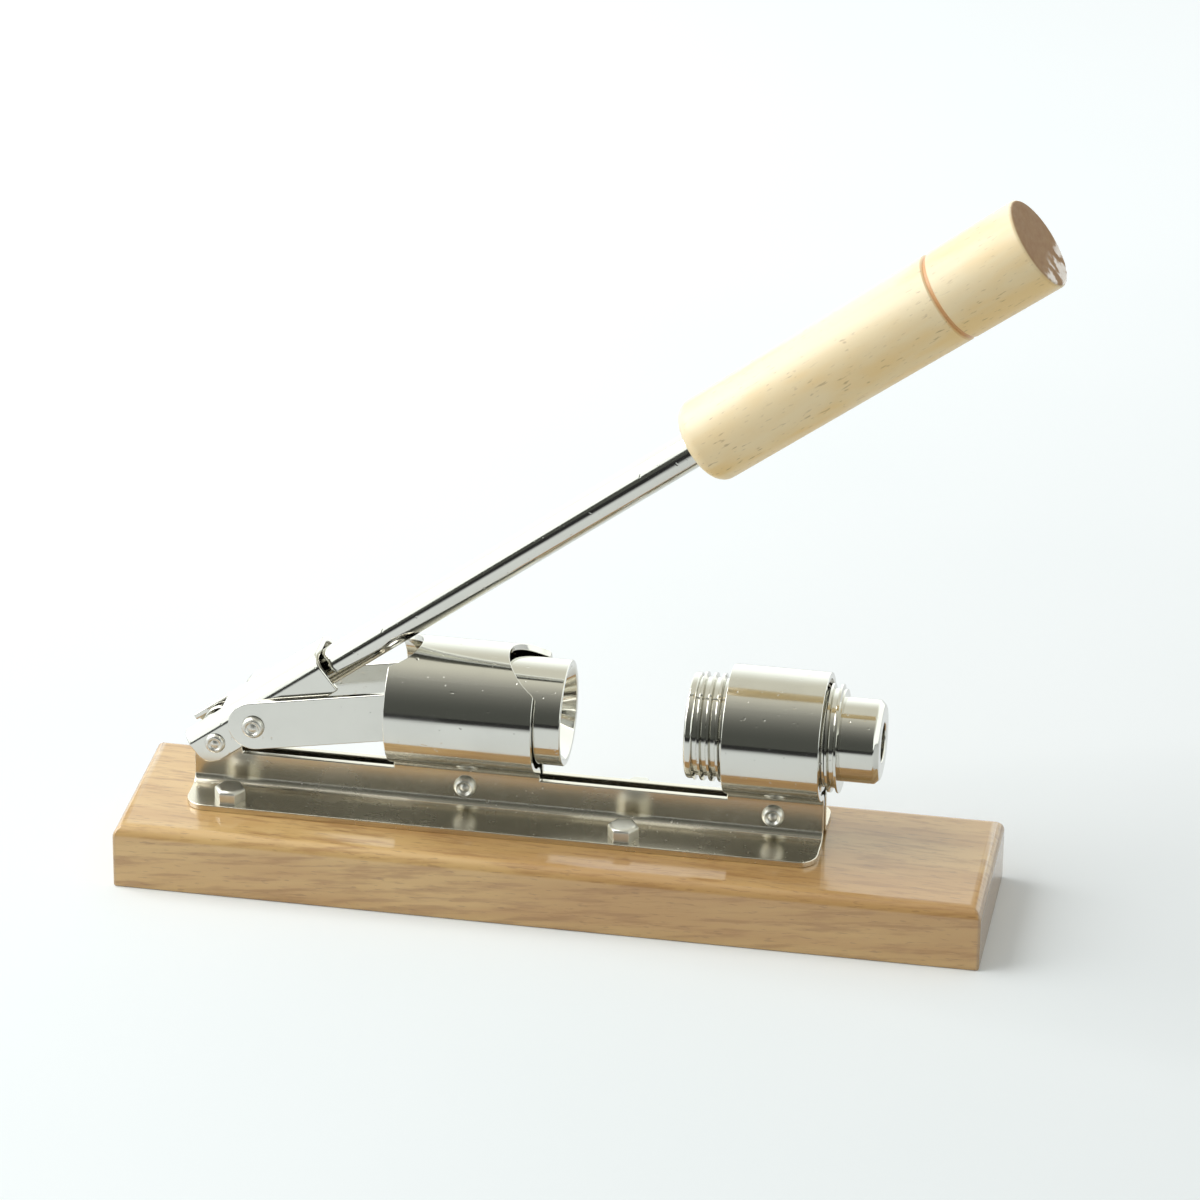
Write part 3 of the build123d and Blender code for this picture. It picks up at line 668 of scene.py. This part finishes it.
cup_low, cup_high = (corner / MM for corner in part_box("anvil_cup"))
CUP_R, CUP_FLOOR_R, CUP_DEPTH = 14.0, 4.0, 9.5
CUP_LIP_R, CUP_LIP = 16.4, 2.5
CUP_SPIGOT_R = 13.0
CUP_EDGE = 0.7
CUP_FLOOR_X, CUP_BACK_X = cup_low.x + CUP_DEPTH, cup_low.x + CUP_LIP
cup_profile = [(CUP_FLOOR_X, 0), (CUP_FLOOR_X, CUP_FLOOR_R), (cup_low.x, CUP_R), (cup_low.x, CUP_LIP_R)]
cup_profile += [(CUP_BACK_X, CUP_LIP_R), (CUP_BACK_X, CUP_SPIGOT_R)]
cup_profile += [(cup_high.x, CUP_SPIGOT_R), (cup_high.x, 0)]
cup = lathe("anvil_lip", cup_profile, rounding=CUP_EDGE)
settle(cup, at=AXIS_AT)
hand_over(cup, "anvil_cup", "bright_turned", "anvil_cup")

# %% [markdown]
# ## The lever
#
# The lever is a bent channel, the yoke, with a round rod inside it and a wooden handle on the rod. The
# yoke is a sheet like the bracket, so it is made the same way: section wire, extrusion, Solidify.
# All of it is easiest to model lying flat along X with the pivot at the origin. At the end each piece
# is turned up by the lever's angle and moved to the pivot.

# %% The yoke, a sheet bent over the rod
LEVER_ANGLE = math.radians(37.0)
LEVER_TURN = (0, -LEVER_ANGLE, 0)
PIVOT = Vector((PIVOT_X, MID_Y, PIVOT_Z)) * MM
YOKE_SHEET = 2.0
YOKE_SIDE, YOKE_BACK, YOKE_FOOT = 8.7, 6.3, -5.7
YOKE_BEND, BEND_STEPS = 4.0, 10
YOKE_HEEL, YOKE_SLOT_END, YOKE_END = -7.7, 6.5, 44.5
YOKE_HEEL_ROUND = 5.5
YOKE_EDGE = 0.5

bend_y, bend_z = YOKE_SIDE - YOKE_BEND, YOKE_BACK - YOKE_BEND
yoke_section = [(-YOKE_SIDE, YOKE_FOOT)] + arc((-bend_y, bend_z), YOKE_BEND, 180, 90, BEND_STEPS)
yoke_section += arc((bend_y, bend_z), YOKE_BEND, 90, 0, BEND_STEPS) + [(YOKE_SIDE, YOKE_FOOT)]
yoke = draw_wire("yoke_channel", [Vector((YOKE_HEEL, y, z)) * MM for y, z in yoke_section])
extrude_by(YOKE_SLOT_END - YOKE_HEEL, 0, 0)
extrude_by(YOKE_END - YOKE_SLOT_END, 0, 0)
select_faces(yoke, lambda x, y, z: x < YOKE_SLOT_END and abs(y) < HAIR)
bpy.ops.mesh.delete(type="FACE")
select_vertices(yoke, lambda x, y, z: x < YOKE_HEEL + HAIR and z < YOKE_FOOT + HAIR)
bpy.ops.mesh.bevel(affect="VERTICES", offset=YOKE_HEEL_ROUND * MM, segments=8)
close_up()
apply_modifier(yoke, "SOLIDIFY", thickness=YOKE_SHEET * MM, offset=0, use_even_offset=True)
break_edges(yoke, YOKE_EDGE)
settle(yoke, at=PIVOT, turn=LEVER_TURN)
hand_over(yoke, "lever", "bright_sheet", "lever_yoke")

# %% [markdown]
# The rod is a plain turned bar. The handle is turned from beech, a little thicker towards its end, with
# a rounded front, a burnt groove and a blind bore for the rod, so its profile starts inside that bore.

# %% Rod
ROD_R = 5.5
ROD_OFFSET = -0.22
ROD_START, ROD_END = 21.0, 280.7
ROD_AXIS_AT = PIVOT + Vector((-math.sin(LEVER_ANGLE), 0, math.cos(LEVER_ANGLE))) * ROD_OFFSET * MM

rod_profile = [(ROD_START, 0), (ROD_START, ROD_R), (ROD_END, ROD_R), (ROD_END, 0)]
rod = lathe("lever_bar", rod_profile, rounding=TURNED_EDGE)
settle(rod, at=ROD_AXIS_AT, turn=LEVER_TURN)
hand_over(rod, "lever", "bright_turned", "lever_rod")

# %% Handle and the pin that holds the rod
HANDLE_START, HANDLE_END = 185.7, 310.2
HANDLE_FRONT_R, HANDLE_END_R = 13.4, 14.6
HANDLE_FRONT_ROUND, HANDLE_END_ROUND = 4.5, 1.2
FRONT_STEPS, END_STEPS = 10, 5
GROOVE_FROM_END = 32.0
GROOVE_AT = HANDLE_END - GROOVE_FROM_END
GROOVE_HALF, GROOVE_FLOOR_HALF, GROOVE_DEPTH = 1.0, 0.4, 0.8


def handle_r(along):
    """Radius of the handle, which grows a little towards its end."""
    share = (along - HANDLE_START) / (HANDLE_END - HANDLE_START)
    return HANDLE_FRONT_R + (HANDLE_END_R - HANDLE_FRONT_R) * share


front_x = HANDLE_START + HANDLE_FRONT_ROUND
front = (front_x, handle_r(front_x) - HANDLE_FRONT_ROUND)
back = (HANDLE_END - HANDLE_END_ROUND, HANDLE_END_R - HANDLE_END_ROUND)
groove_r = handle_r(GROOVE_AT)
floor_r = groove_r - GROOVE_DEPTH
handle_profile = [(ROD_END, 0), (ROD_END, ROD_R), (HANDLE_START, ROD_R)]
handle_profile += arc(front, HANDLE_FRONT_ROUND, 180, 90, FRONT_STEPS)
handle_profile += [(GROOVE_AT - GROOVE_HALF, groove_r), (GROOVE_AT - GROOVE_FLOOR_HALF, floor_r)]
handle_profile += [(GROOVE_AT + GROOVE_FLOOR_HALF, floor_r), (GROOVE_AT + GROOVE_HALF, groove_r)]
handle_profile += arc(back, HANDLE_END_ROUND, 90, 0, END_STEPS) + [(HANDLE_END, 0)]
handle = lathe("handle_grip", handle_profile)
settle(handle, at=ROD_AXIS_AT, turn=LEVER_TURN)
hand_over(handle, "lever", "handle_wood", "handle")

rod_cross_pin = headed_pin("rod_cross_pin", "rod_pin", shank_r=1.9, head_r=1.95, head_height=0.2)
hand_over(rod_cross_pin, "lever", "bright_fastener", "rod_pin")

# %% [markdown]
# ## The links
#
# Two flat plates carry the push from the lever to the ram. A plate with round ends starts as a filled
# circle. Half of its vertices move away by the length of the link, and the face is extruded to the
# thickness of the sheet. The rear plate is a copy of the front one.

# %% Two plates with round ends
LINK_LENGTH = 50.0
LINK_R = 8.0
LINK_CORNERS = 66
LINK_SHEET = 2.0
LINK_INNER = 10.0
LINK_EDGE = 0.35
LINK_PIN = Vector(frame["joints"][1]["pos_m"])
LINK_ANGLE = math.asin((AXIS_Z * MM - LINK_PIN.z) / (LINK_LENGTH * MM))

bpy.ops.object.select_all(action="DESELECT")
bpy.ops.mesh.primitive_circle_add(
    vertices=LINK_CORNERS,
    radius=LINK_R * MM,
    fill_type="NGON",
    location=(0, -LINK_INNER * MM, 0),
    rotation=(math.radians(90), 0, 0),
)
front_link = bpy.context.object
front_link.name = "link_plate_front"
bpy.ops.object.transform_apply(location=True, rotation=True, scale=True)
select_vertices(front_link, lambda x, y, z: x > HAIR)
bpy.ops.transform.translate(value=(LINK_LENGTH * MM, 0, 0))
bpy.ops.mesh.select_all(action="SELECT")
extrude_by(0, -LINK_SHEET, 0)
close_up()
break_edges(front_link, LINK_EDGE)
settle(front_link, at=LINK_PIN, turn=(0, -LINK_ANGLE, 0))
rear_link = twin(front_link, "link_plate_rear", (0, (2 * LINK_INNER + LINK_SHEET) * MM, 0))
hand_over(front_link, "links", "bright_sheet", "link_front")
hand_over(rear_link, "links", "bright_sheet", "link_rear")

# %% [markdown]
# ## Shader maths
#
# Wood and plate are built from sums and products of noises. Node graphs for that are long to write, so
# a small class wraps a socket and lets Python's own operators add the Math nodes. One function makes
# any other node.


# %% Sockets with operators
class Signal:
    """An output socket of a node tree that takes part in sums and products."""

    def __init__(self, tree, socket):
        self.tree = tree
        self.socket = socket

    def math(self, operation, first, second=0.0):
        return make(self.tree, "ShaderNodeMath", {"operation": operation}, {0: first, 1: second})

    def __add__(self, other):
        return self.math("ADD", self, other)

    def __radd__(self, other):
        return self.math("ADD", other, self)

    def __sub__(self, other):
        return self.math("SUBTRACT", self, other)

    def __rsub__(self, other):
        return self.math("SUBTRACT", other, self)

    def __mul__(self, other):
        return self.math("MULTIPLY", self, other)

    def __rmul__(self, other):
        return self.math("MULTIPLY", other, self)

    def __abs__(self):
        return self.math("ABSOLUTE", self)


def plug(tree, socket, value):
    """Link a signal to a socket, or set the socket to a constant."""
    if isinstance(value, Signal):
        tree.links.new(value.socket, socket)
    else:
        socket.default_value = value


def make(tree, kind, settings=None, sockets=None, output=0):
    """Add any node with its settings and sockets and return one of its outputs."""
    node = tree.nodes.new(kind)
    for key, value in (settings or {}).items():
        setattr(node, key, value)
    for key, value in (sockets or {}).items():
        plug(tree, node.inputs[key], value)
    return Signal(tree, node.outputs[output])


print("signals can be added, subtracted and multiplied")

# %% [markdown]
# A few nodes come back in every finish, so each gets a short function: a smooth step, a colour mix, a
# noise, a stretched noise for grain, a bump. Colours are written as one reads them in a picture, from 0 to
# 255, and turned to the linear light that shaders work with.


# %% Steps, mixes, places and noises
def step(value, low, high):
    """Rise smoothly from 0 to 1 between two values."""
    settings = {"interpolation_type": "SMOOTHSTEP"}
    sockets = {"Value": value, "From Min": low, "From Max": high}
    return make(value.tree, "ShaderNodeMapRange", settings, sockets)


COLOUR_A, COLOUR_B, COLOUR_RESULT = 6, 7, 2


def mix(factor, low, high):
    """Mix two colours; a colour may be a signal or three numbers."""
    low = low if isinstance(low, Signal) else (*low, 1.0)
    high = high if isinstance(high, Signal) else (*high, 1.0)
    sockets = {0: factor, COLOUR_A: low, COLOUR_B: high}
    return make(factor.tree, "ShaderNodeMix", {"data_type": "RGBA"}, sockets, output=COLOUR_RESULT)


def axis_of(place, axis):
    """One coordinate of a place."""
    return make(place.tree, "ShaderNodeSeparateXYZ", None, {"Vector": place}, output=axis)


def mapped(place, location=(0, 0, 0), rotation=(0, 0, 0), scale=(1, 1, 1)):
    """Move, turn and stretch a place."""
    sockets = {"Vector": place, "Location": location, "Rotation": rotation, "Scale": scale}
    return make(place.tree, "ShaderNodeMapping", None, sockets)


def noise(place, scale, detail, roughness):
    """Noise between 0 and 1 at a place."""
    sockets = {"Vector": place, "Scale": scale, "Detail": detail, "Roughness": roughness}
    return make(place.tree, "ShaderNodeTexNoise", None, sockets)


def grain(place, stretch, detail, roughness):
    """Noise with a scale of its own along each axis."""
    return noise(mapped(place, scale=stretch), 1.0, detail, roughness)


def bump(height, distance, strength=1.0):
    """A normal from a height."""
    sockets = {"Height": height, "Distance": distance, "Strength": strength}
    return make(height.tree, "ShaderNodeBump", None, sockets)


print("nodes:", [helper.__name__ for helper in (step, mix, axis_of, mapped, noise, grain, bump)])


# %% Colours and new finishes
def from_srgb(red, green, blue):
    """A linear colour from the 0 to 255 values one reads in a picture."""
    values = (red / 255, green / 255, blue / 255)
    return tuple(v / 12.92 if v < 0.04045 else ((v + 0.055) / 1.055) ** 2.4 for v in values)


def new_finish(name, **constants):
    """A material, its Principled shader with constants set, and the object coordinates."""
    material = bpy.data.materials.new(name)
    material.use_nodes = True
    tree = material.node_tree
    shader = tree.nodes["Principled BSDF"]
    for key, value in constants.items():
        shader.inputs[key.replace("_", " ")].default_value = value
    place = make(tree, "ShaderNodeTexCoord", output="Object")
    return material, shader, place


BEECH_MIDDLE = from_srgb(243, 223, 181)
print("beech in linear light:", [round(v, 3) for v in BEECH_MIDDLE])

# %% [markdown]
# ## Bright plate
#
# Everything of metal has the same bright nickel-like plate, slightly warm. What makes it look real is
# that it isn't perfect: a slow waviness from the press, hazy patches from hands, small pits and fine
# wiping lines. Those vary the roughness and, very little, the normal. Sheet near the board is duller, and
# its colour is tinted warm there as a painted reflection of the wood.

# %% Plate for sheet, turned pieces and fasteners
NICKEL = (0.70, 0.69, 0.64)
# Warm tint for sheet near the board: a painted reflection of the wood.
BOARD_REFLECTION_TINT = (0.74, 0.68, 0.55)
HAZE_SHADE = 0.90
HAZE_TINT = tuple(v * HAZE_SHADE for v in NICKEL)
DULL_TO, BRIGHT_FROM = 30.0, 40.0
PATCH_SCALE, PIT_SCALE, WAVE_SCALE = 38.0, 620.0, 26.0
PIT_ROUGH, LINE_ROUGH = 0.06, 0.05
PIT_DEPTH, LINE_DEPTH, PLATE_RELIEF = 0.10, 0.012, 0.0004


def plate(name, smooth, haze, wave_height, line_stretch, dull_and_reflection=0.0):
    """Bright plating: waviness, haze, pits, fine lines; if asked, duller near the board with a painted wood
    reflection.
    """
    material, shader, place = new_finish(name, Metallic=1.0)
    tree = material.node_tree
    patches = step(noise(place, PATCH_SCALE, 4.0, 0.55), 0.42, 0.75)
    pits = step(noise(place, PIT_SCALE, 1.0, 0.5), 0.70, 0.80)
    lines = grain(place, line_stretch, 2.0, 0.6)
    waves = noise(place, WAVE_SCALE, 1.0, 0.4)
    low_down = 1.0 - step(axis_of(place, 2), DULL_TO * MM, BRIGHT_FROM * MM)
    roughness = smooth + haze * patches + PIT_ROUGH * pits + LINE_ROUGH * lines + dull_and_reflection * low_down
    tint = mix(patches * 0.6 + pits * 0.4, NICKEL, HAZE_TINT)
    height = waves * wave_height + lines * LINE_DEPTH - pits * PIT_DEPTH
    plug(tree, shader.inputs["Roughness"], roughness)
    # Near the board the colour turns warm: a painted reflection of the wood.
    plug(tree, shader.inputs["Base Color"], mix(low_down * (4.0 * dull_and_reflection), tint, BOARD_REFLECTION_TINT))
    plug(tree, shader.inputs["Normal"], bump(height, PLATE_RELIEF))
    return material


plates = {
    "bright_sheet": plate("sheet_plate", 0.07, 0.06, 0.8, (40.0, 900.0, 900.0), dull_and_reflection=0.15),
    "bright_turned": plate("turned_plate", 0.06, 0.05, 0.35, (1600.0, 60.0, 60.0)),
    "bright_fastener": plate("fastener_plate", 0.32, 0.08, 0.5, (300.0, 300.0, 300.0)),
}
print("plates:", list(plates))

# %% [markdown]
# ## Lacquered board
#
# The board is straight-grained tan wood under a glossy lacquer. Grain is noise that is stretched along
# the plank: a slow one for the growth bands, a finer one for streaks, and short dark pores. The
# lacquer is the coat of the Principled shader, so the wood below can stay matt.

# %% Board wood
TAN_LIGHT = from_srgb(216, 178, 115)
TAN_MIDDLE = from_srgb(195, 151, 90)
TAN_DARK = from_srgb(162, 115, 62)
PORE_BROWN = from_srgb(126, 88, 50)
# Darker, greyer tan for the end faces: partly end grain, partly painted shade on the end face.
BOARD_END_GRAIN_AND_SHADE = from_srgb(160, 134, 104)
BOARD_END_FROM, BOARD_END_TO = board_high.x - 1.4, board_high.x - 0.2
GRAIN_SLOPE = (0, math.radians(5), math.radians(2))
BOARD_RELIEF = 0.00008


def board_wood():
    """Tan wood with sloping bands, streaks and short pores under a glossy coat."""
    constants = {"Coat_Weight": 1.0, "Coat_Roughness": 0.10, "Coat_IOR": 1.65}
    material, shader, place = new_finish("board_lacquered_wood", **constants)
    tree = material.node_tree
    sloped = mapped(place, rotation=GRAIN_SLOPE)
    sway = grain(place, (9.0, 30.0, 30.0), 2.0, 0.5)
    bands = grain(sloped, (7.0, 80.0, 80.0), 3.0, 0.55)
    streaks = grain(sloped, (42.0, 460.0, 460.0), 4.0, 0.6)
    pores = step(grain(place, (190.0, 1300.0, 1300.0), 2.0, 0.5), 0.60, 0.70)
    end_face = step(abs(axis_of(place, 0)), BOARD_END_FROM * MM, BOARD_END_TO * MM)
    colour = mix(step(bands * 0.6 + sway * 0.4, 0.38, 0.62), TAN_LIGHT, TAN_MIDDLE)
    colour = mix(step(streaks, 0.46, 0.66) * 0.55, colour, TAN_DARK)
    colour = mix(pores * 0.35, colour, PORE_BROWN)
    # The end faces are mixed towards that tan: end grain, and painted shade.
    colour = mix(end_face * 0.5, colour, BOARD_END_GRAIN_AND_SHADE)
    plug(tree, shader.inputs["Base Color"], colour)
    plug(tree, shader.inputs["Roughness"], 0.42 + 0.12 * streaks)
    plug(tree, shader.inputs["Normal"], bump(streaks * 0.4 - pores * 0.6, BOARD_RELIEF, 0.3))
    return material


woods = {"base_wood": board_wood()}
print("woods:", list(woods))

# %% [markdown]
# ## Beech handle
#
# Beech is pale and full of short dark flecks that follow the grain. The grain follows the handle, so the
# coordinates are first moved to the rod's axis and turned back by the lever's angle. The lower side is
# painted darker and warmer, with more flecks: painted shade. Along the axis the burnt groove and the brown
# end grain are found by distance. At the lower edge of that end the finish is glossier, and pale patches
# there are a painted highlight.

# %% Handle wood
BEECH_LIGHT = from_srgb(250, 237, 203)
# Warm beech, used for random warm patches and for painted shade on the lower side.
BEECH_WARM_AND_SHADED = from_srgb(242, 203, 128)
FLECK_BROWN = from_srgb(150, 116, 72)
BURNT_BROWN = from_srgb(206, 136, 66)
END_BROWN = from_srgb(182, 142, 104)
# Pale colour for a painted highlight at the lower edge of the handle's end face.
PAINTED_HIGHLIGHT_PALE = from_srgb(236, 226, 206)
LOWER_SHADE_REACH = 9.0
POOL_FROM, POOL_TO = -8.0, -3.0
BURNT_HALF, BURNT_FADE = 0.3, 0.9
HANDLE_END_FROM, HANDLE_END_TO = HANDLE_END - 0.5, HANDLE_END - 0.1
HANDLE_RELIEF = 0.00010


def handle_wood():
    """Pale beech flecked along the lever, painted shade below, a burnt groove, brown end grain, painted
    highlight.
    """
    material, shader, place = new_finish("handle_beech", Coat_Roughness=0.25, Coat_IOR=1.5)
    tree = material.node_tree
    moved = mapped(place, location=tuple(-ROD_AXIS_AT))
    lying = mapped(moved, rotation=(0, LEVER_ANGLE, 0))
    along, upward = axis_of(lying, 0), axis_of(lying, 2)
    bands = grain(lying, (6.0, 90.0, 90.0), 3.0, 0.5)
    warm = step(grain(lying, (22.0, 70.0, 70.0), 3.0, 0.6), 0.46, 0.66)
    # Painted shade: the lower side of the handle is made darker, warmer and more flecked.
    lower_painted_shade = 1.0 - step(upward, -LOWER_SHADE_REACH * MM, LOWER_SHADE_REACH * MM)
    crowd = step(noise(lying, 55.0, 2.0, 0.5), 0.40, 0.60)
    flecks = step(grain(lying, (330.0, 1400.0, 1400.0), 1.0, 0.4), 0.63, 0.77)
    flecks = flecks * (0.2 + 0.5 * crowd + 0.3 * lower_painted_shade)
    colour = mix(step(bands, 0.35, 0.7), BEECH_LIGHT, BEECH_MIDDLE)
    colour = mix(warm * 0.35 + lower_painted_shade * 0.5, colour, BEECH_WARM_AND_SHADED)
    colour = mix(flecks * 0.55, colour, FLECK_BROWN)
    groove = 1.0 - step(abs(along - GROOVE_AT * MM), BURNT_HALF * MM, BURNT_FADE * MM)
    colour = mix(groove * 0.75, colour, BURNT_BROWN)
    end_face = step(along, HANDLE_END_FROM * MM, HANDLE_END_TO * MM)
    rings = grain(lying, (1.0, 260.0, 500.0), 3.0, 0.6)
    colour = mix(end_face * (0.75 + 0.35 * rings), colour, END_BROWN)
    # Lower edge of the end face: glossier finish, with pale patches that are a painted highlight.
    low_end = 1.0 - step(upward, POOL_FROM * MM, POOL_TO * MM)
    pooled_gloss_and_highlight = end_face * low_end * step(noise(lying, 240.0, 2.0, 0.5), 0.46, 0.58)
    colour = mix(pooled_gloss_and_highlight * 0.55, colour, PAINTED_HIGHLIGHT_PALE)
    plug(tree, shader.inputs["Base Color"], colour)
    plug(tree, shader.inputs["Roughness"], 0.38 + 0.14 * bands + 0.4 * end_face - 0.4 * pooled_gloss_and_highlight)
    plug(tree, shader.inputs["Coat Weight"], 0.4 - 0.35 * end_face + 0.9 * pooled_gloss_and_highlight)
    plug(tree, shader.inputs["Normal"], bump(bands * 0.3 - flecks * 0.5, HANDLE_RELIEF, 0.5))
    return material


woods["handle_wood"] = handle_wood()
print("woods:", list(woods))

# %% [markdown]
# Each piece was handed over with the name of its finish, its slot. Now every slot gets its material. The
# bush and the two spacers are plain rings that hardly show, so they stay as the CAD nodes that they are.

# %% Dress every piece and the CAD nodes that stay
finishes = {**plates, **woods}
kept_nodes = {
    "threaded_bush": "bright_turned",
    "pivot_spacer_front": "bright_fastener",
    "pivot_spacer_rear": "bright_fastener",
}


def dress(obj, slot):
    """Give an object the one material of its slot."""
    obj.data.materials.clear()
    obj.data.materials.append(finishes[slot])


for slot, pieces in pieces_of_slot.items():
    for piece in pieces:
        dress(piece, slot)
for node, slot in kept_nodes.items():
    dress(frame["nodes"][node], slot)
print("dressed:", {slot: len(pieces) for slot, pieces in pieces_of_slot.items()}, "kept:", len(kept_nodes))

# %% [markdown]
# ## Floor, light and camera
#
# The tool stands on a white table under soft light from the upper left. The floor is a wide pale plane
# that glows a little for the camera, so it is white and still keeps the shadow. Bright metal mirrors its
# surroundings, so these matter as much as the lamp. For what mirrors it, the table ends a little in front
# of the tool, where the room is dark, and it grows bright towards the back.

# %% White floor
BLACK = (0, 0, 0)
FLOOR_SIZE = 12
TABLE_WHITE, TABLE_CLOUD = (0.85, 0.88, 0.88), (0.81, 0.85, 0.85)
PAST_EDGE = (0.03, 0.03, 0.03)
EDGE_FROM, EDGE_TO = -0.42, -0.20
NEAR_GLOW, FAR_GLOW = (0.07, 0.075, 0.07), (0.26, 0.27, 0.27)
NEAR_MIRRORED, FAR_MIRRORED = (0.02, 0.02, 0.02), (1.25, 1.25, 1.25)

bpy.ops.object.select_all(action="DESELECT")
bpy.ops.mesh.primitive_plane_add(size=FLOOR_SIZE)
floor = bpy.context.object
floor.name = "white_table"


def floor_finish():
    """A white table: brighter to the camera, and ending in the dark for what mirrors it."""
    constants = {"Roughness": 0.6, "Specular_IOR_Level": 0.0, "Emission_Strength": 1.0}
    material, shader, place = new_finish("table_white", **constants)
    tree = material.node_tree
    depth = axis_of(place, 1)
    to_camera = make(tree, "ShaderNodeLightPath", output="Is Camera Ray")
    to_mirror = make(tree, "ShaderNodeLightPath", output="Is Glossy Ray")
    on_table = step(depth, EDGE_FROM, EDGE_TO)
    table = mix(step(noise(place, 2.2, 3.0, 0.5), 0.3, 0.7), TABLE_WHITE, TABLE_CLOUD)
    away = step(depth, -0.10, 0.70) + (1 - step(depth, -1.10, -0.40))
    open_floor = mix(away, NEAR_GLOW, FAR_GLOW)
    far_table = mix(step(depth, 0.15, 0.90), NEAR_MIRRORED, FAR_MIRRORED)
    mirrored = mix(to_mirror * on_table, BLACK, far_table)
    plug(tree, shader.inputs["Base Color"], mix(to_mirror * (1 - on_table), table, PAST_EDGE))
    plug(tree, shader.inputs["Emission Color"], mix(to_camera, mirrored, open_floor))
    return material


floor.data.materials.append(floor_finish())
print("floor of", floor.dimensions.x, "m")

# %% [markdown]
# The dark bands on real plated metal are the dark room behind the viewer. A card that only reflections
# see stands there: nearly black above the table's edge and beige overhead, where it meets the ceiling.

# %% Dark card in front
CARD_DISTANCE, CARD_HEIGHT, CARD_WIDTH = 1.6, 3.2, 2.6
CARD_DARK_TO = 0.30
CARD_DARK = (0.09, 0.095, 0.085)
FRONT_CEILING = (0.36, 0.36, 0.32)

bpy.ops.object.select_all(action="DESELECT")
bpy.ops.mesh.primitive_plane_add(
    size=1, location=(0, -CARD_DISTANCE, CARD_HEIGHT / 2), rotation=(math.radians(90), 0, 0)
)
card = bpy.context.object
card.name = "front_card"
card.scale = (CARD_WIDTH, CARD_HEIGHT, 1)
bpy.ops.object.transform_apply(location=True, rotation=True, scale=True)
for ray in ("camera", "diffuse", "transmission", "volume_scatter", "shadow"):
    setattr(card, f"visible_{ray}", False)


def card_finish():
    """Glow that stays nearly black above the table's edge and turns beige overhead."""
    constants = {"Base_Color": (*BLACK, 1), "Specular_IOR_Level": 0.0, "Emission_Strength": 1.0}
    material, shader, place = new_finish("card_gradient", **constants)
    rise = step(axis_of(place, 2), CARD_DARK_TO, CARD_HEIGHT)
    plug(material.node_tree, shader.inputs["Emission Color"], mix(rise, CARD_DARK, FRONT_CEILING))
    return material


card.data.materials.append(card_finish())
print("card stands", CARD_DISTANCE, "m in front")

# %% [markdown]
# The world is three rooms in one. To the camera it is white. To mirrors it is a white backdrop under a
# beige ceiling. As light it is a soft grey that grows towards the top, and one large lamp from the upper
# left gives the shadow its side.

# %% World and lamp
BACKDROP = (1.50, 1.58, 1.53)
OVERHEAD = (0.81, 0.80, 0.69)
LOW_LIGHT, HIGH_LIGHT = (0.21, 0.215, 0.215), (0.545, 0.555, 0.555)
WHITE = (1, 1, 1)
LAMP_AT, LAMP_AIM = Vector((-1.2, -0.15, 1.25)), Vector((0, 0, 0.05))
LAMP_SIZE, LAMP_POWER = 1.5, 27.5

world = bpy.data.worlds.new("white_room")
bpy.context.scene.world = world
world.use_nodes = True
sky = world.node_tree
aim = make(sky, "ShaderNodeTexCoord", output="Generated")
ceiling = mix(step(axis_of(aim, 1), -0.60, 0.10), FRONT_CEILING, OVERHEAD)
mirrored_room = mix(step(axis_of(aim, 2), 0.35, 0.85), BACKDROP, ceiling)
room_light = mix(step(axis_of(aim, 2), 0.0, 0.9), LOW_LIGHT, HIGH_LIGHT)
seen_room = mix(make(sky, "ShaderNodeLightPath", output="Is Camera Ray"), room_light, WHITE)
room = mix(make(sky, "ShaderNodeLightPath", output="Is Glossy Ray"), seen_room, mirrored_room)
plug(sky, sky.nodes["Background"].inputs["Color"], room)

bpy.ops.object.light_add(type="AREA", location=LAMP_AT)
lamp = bpy.context.object
lamp.name = "key_upper_left"
lamp.data.size = LAMP_SIZE
lamp.data.energy = LAMP_POWER
lamp.rotation_euler = (LAMP_AIM - LAMP_AT).to_track_quat("-Z", "Y").to_euler()
print("lamp of", LAMP_POWER, "W at", [round(v, 2) for v in LAMP_AT])

# %% [markdown]
# The camera stands where the photograph was taken. Its yaw, pitch and roll were found from the board's
# corners, and its long lens gives the weak perspective. Three axes make its matrix: right, up and back.

# %% Camera at the photograph's angle
YAW, PITCH, ROLL = math.radians(9.89), math.radians(26.78), math.radians(0.69)
CAMERA_BACK = 1.958
CAMERA_SHIFT_RIGHT, CAMERA_SHIFT_UP = 0.0127, 0.0875
FOCAL_PIXELS, PICTURE_PIXELS, SENSOR = 6300, 1200, 36.0
CLIP_END = 50
back = Vector((math.sin(YAW) * math.cos(PITCH), -math.cos(YAW) * math.cos(PITCH), math.sin(PITCH)))
level = Vector((math.cos(YAW), math.sin(YAW), 0))
upright = back.cross(level)
right = math.cos(ROLL) * level + math.sin(ROLL) * upright
up = math.cos(ROLL) * upright - math.sin(ROLL) * level
camera_at = back * CAMERA_BACK + right * CAMERA_SHIFT_RIGHT + up * CAMERA_SHIFT_UP

bpy.ops.object.camera_add()
camera = bpy.context.object
camera.matrix_world = Matrix.Translation(camera_at) @ Matrix((right, up, back)).transposed().to_4x4()
camera.data.sensor_width = SENSOR
camera.data.lens = SENSOR * FOCAL_PIXELS / PICTURE_PIXELS
camera.data.clip_end = CLIP_END
bpy.context.scene.camera = camera
bpy.context.scene.view_settings.view_transform = "Standard"
print("camera at", [round(v, 3) for v in camera_at], "lens", round(camera.data.lens, 1), "mm")
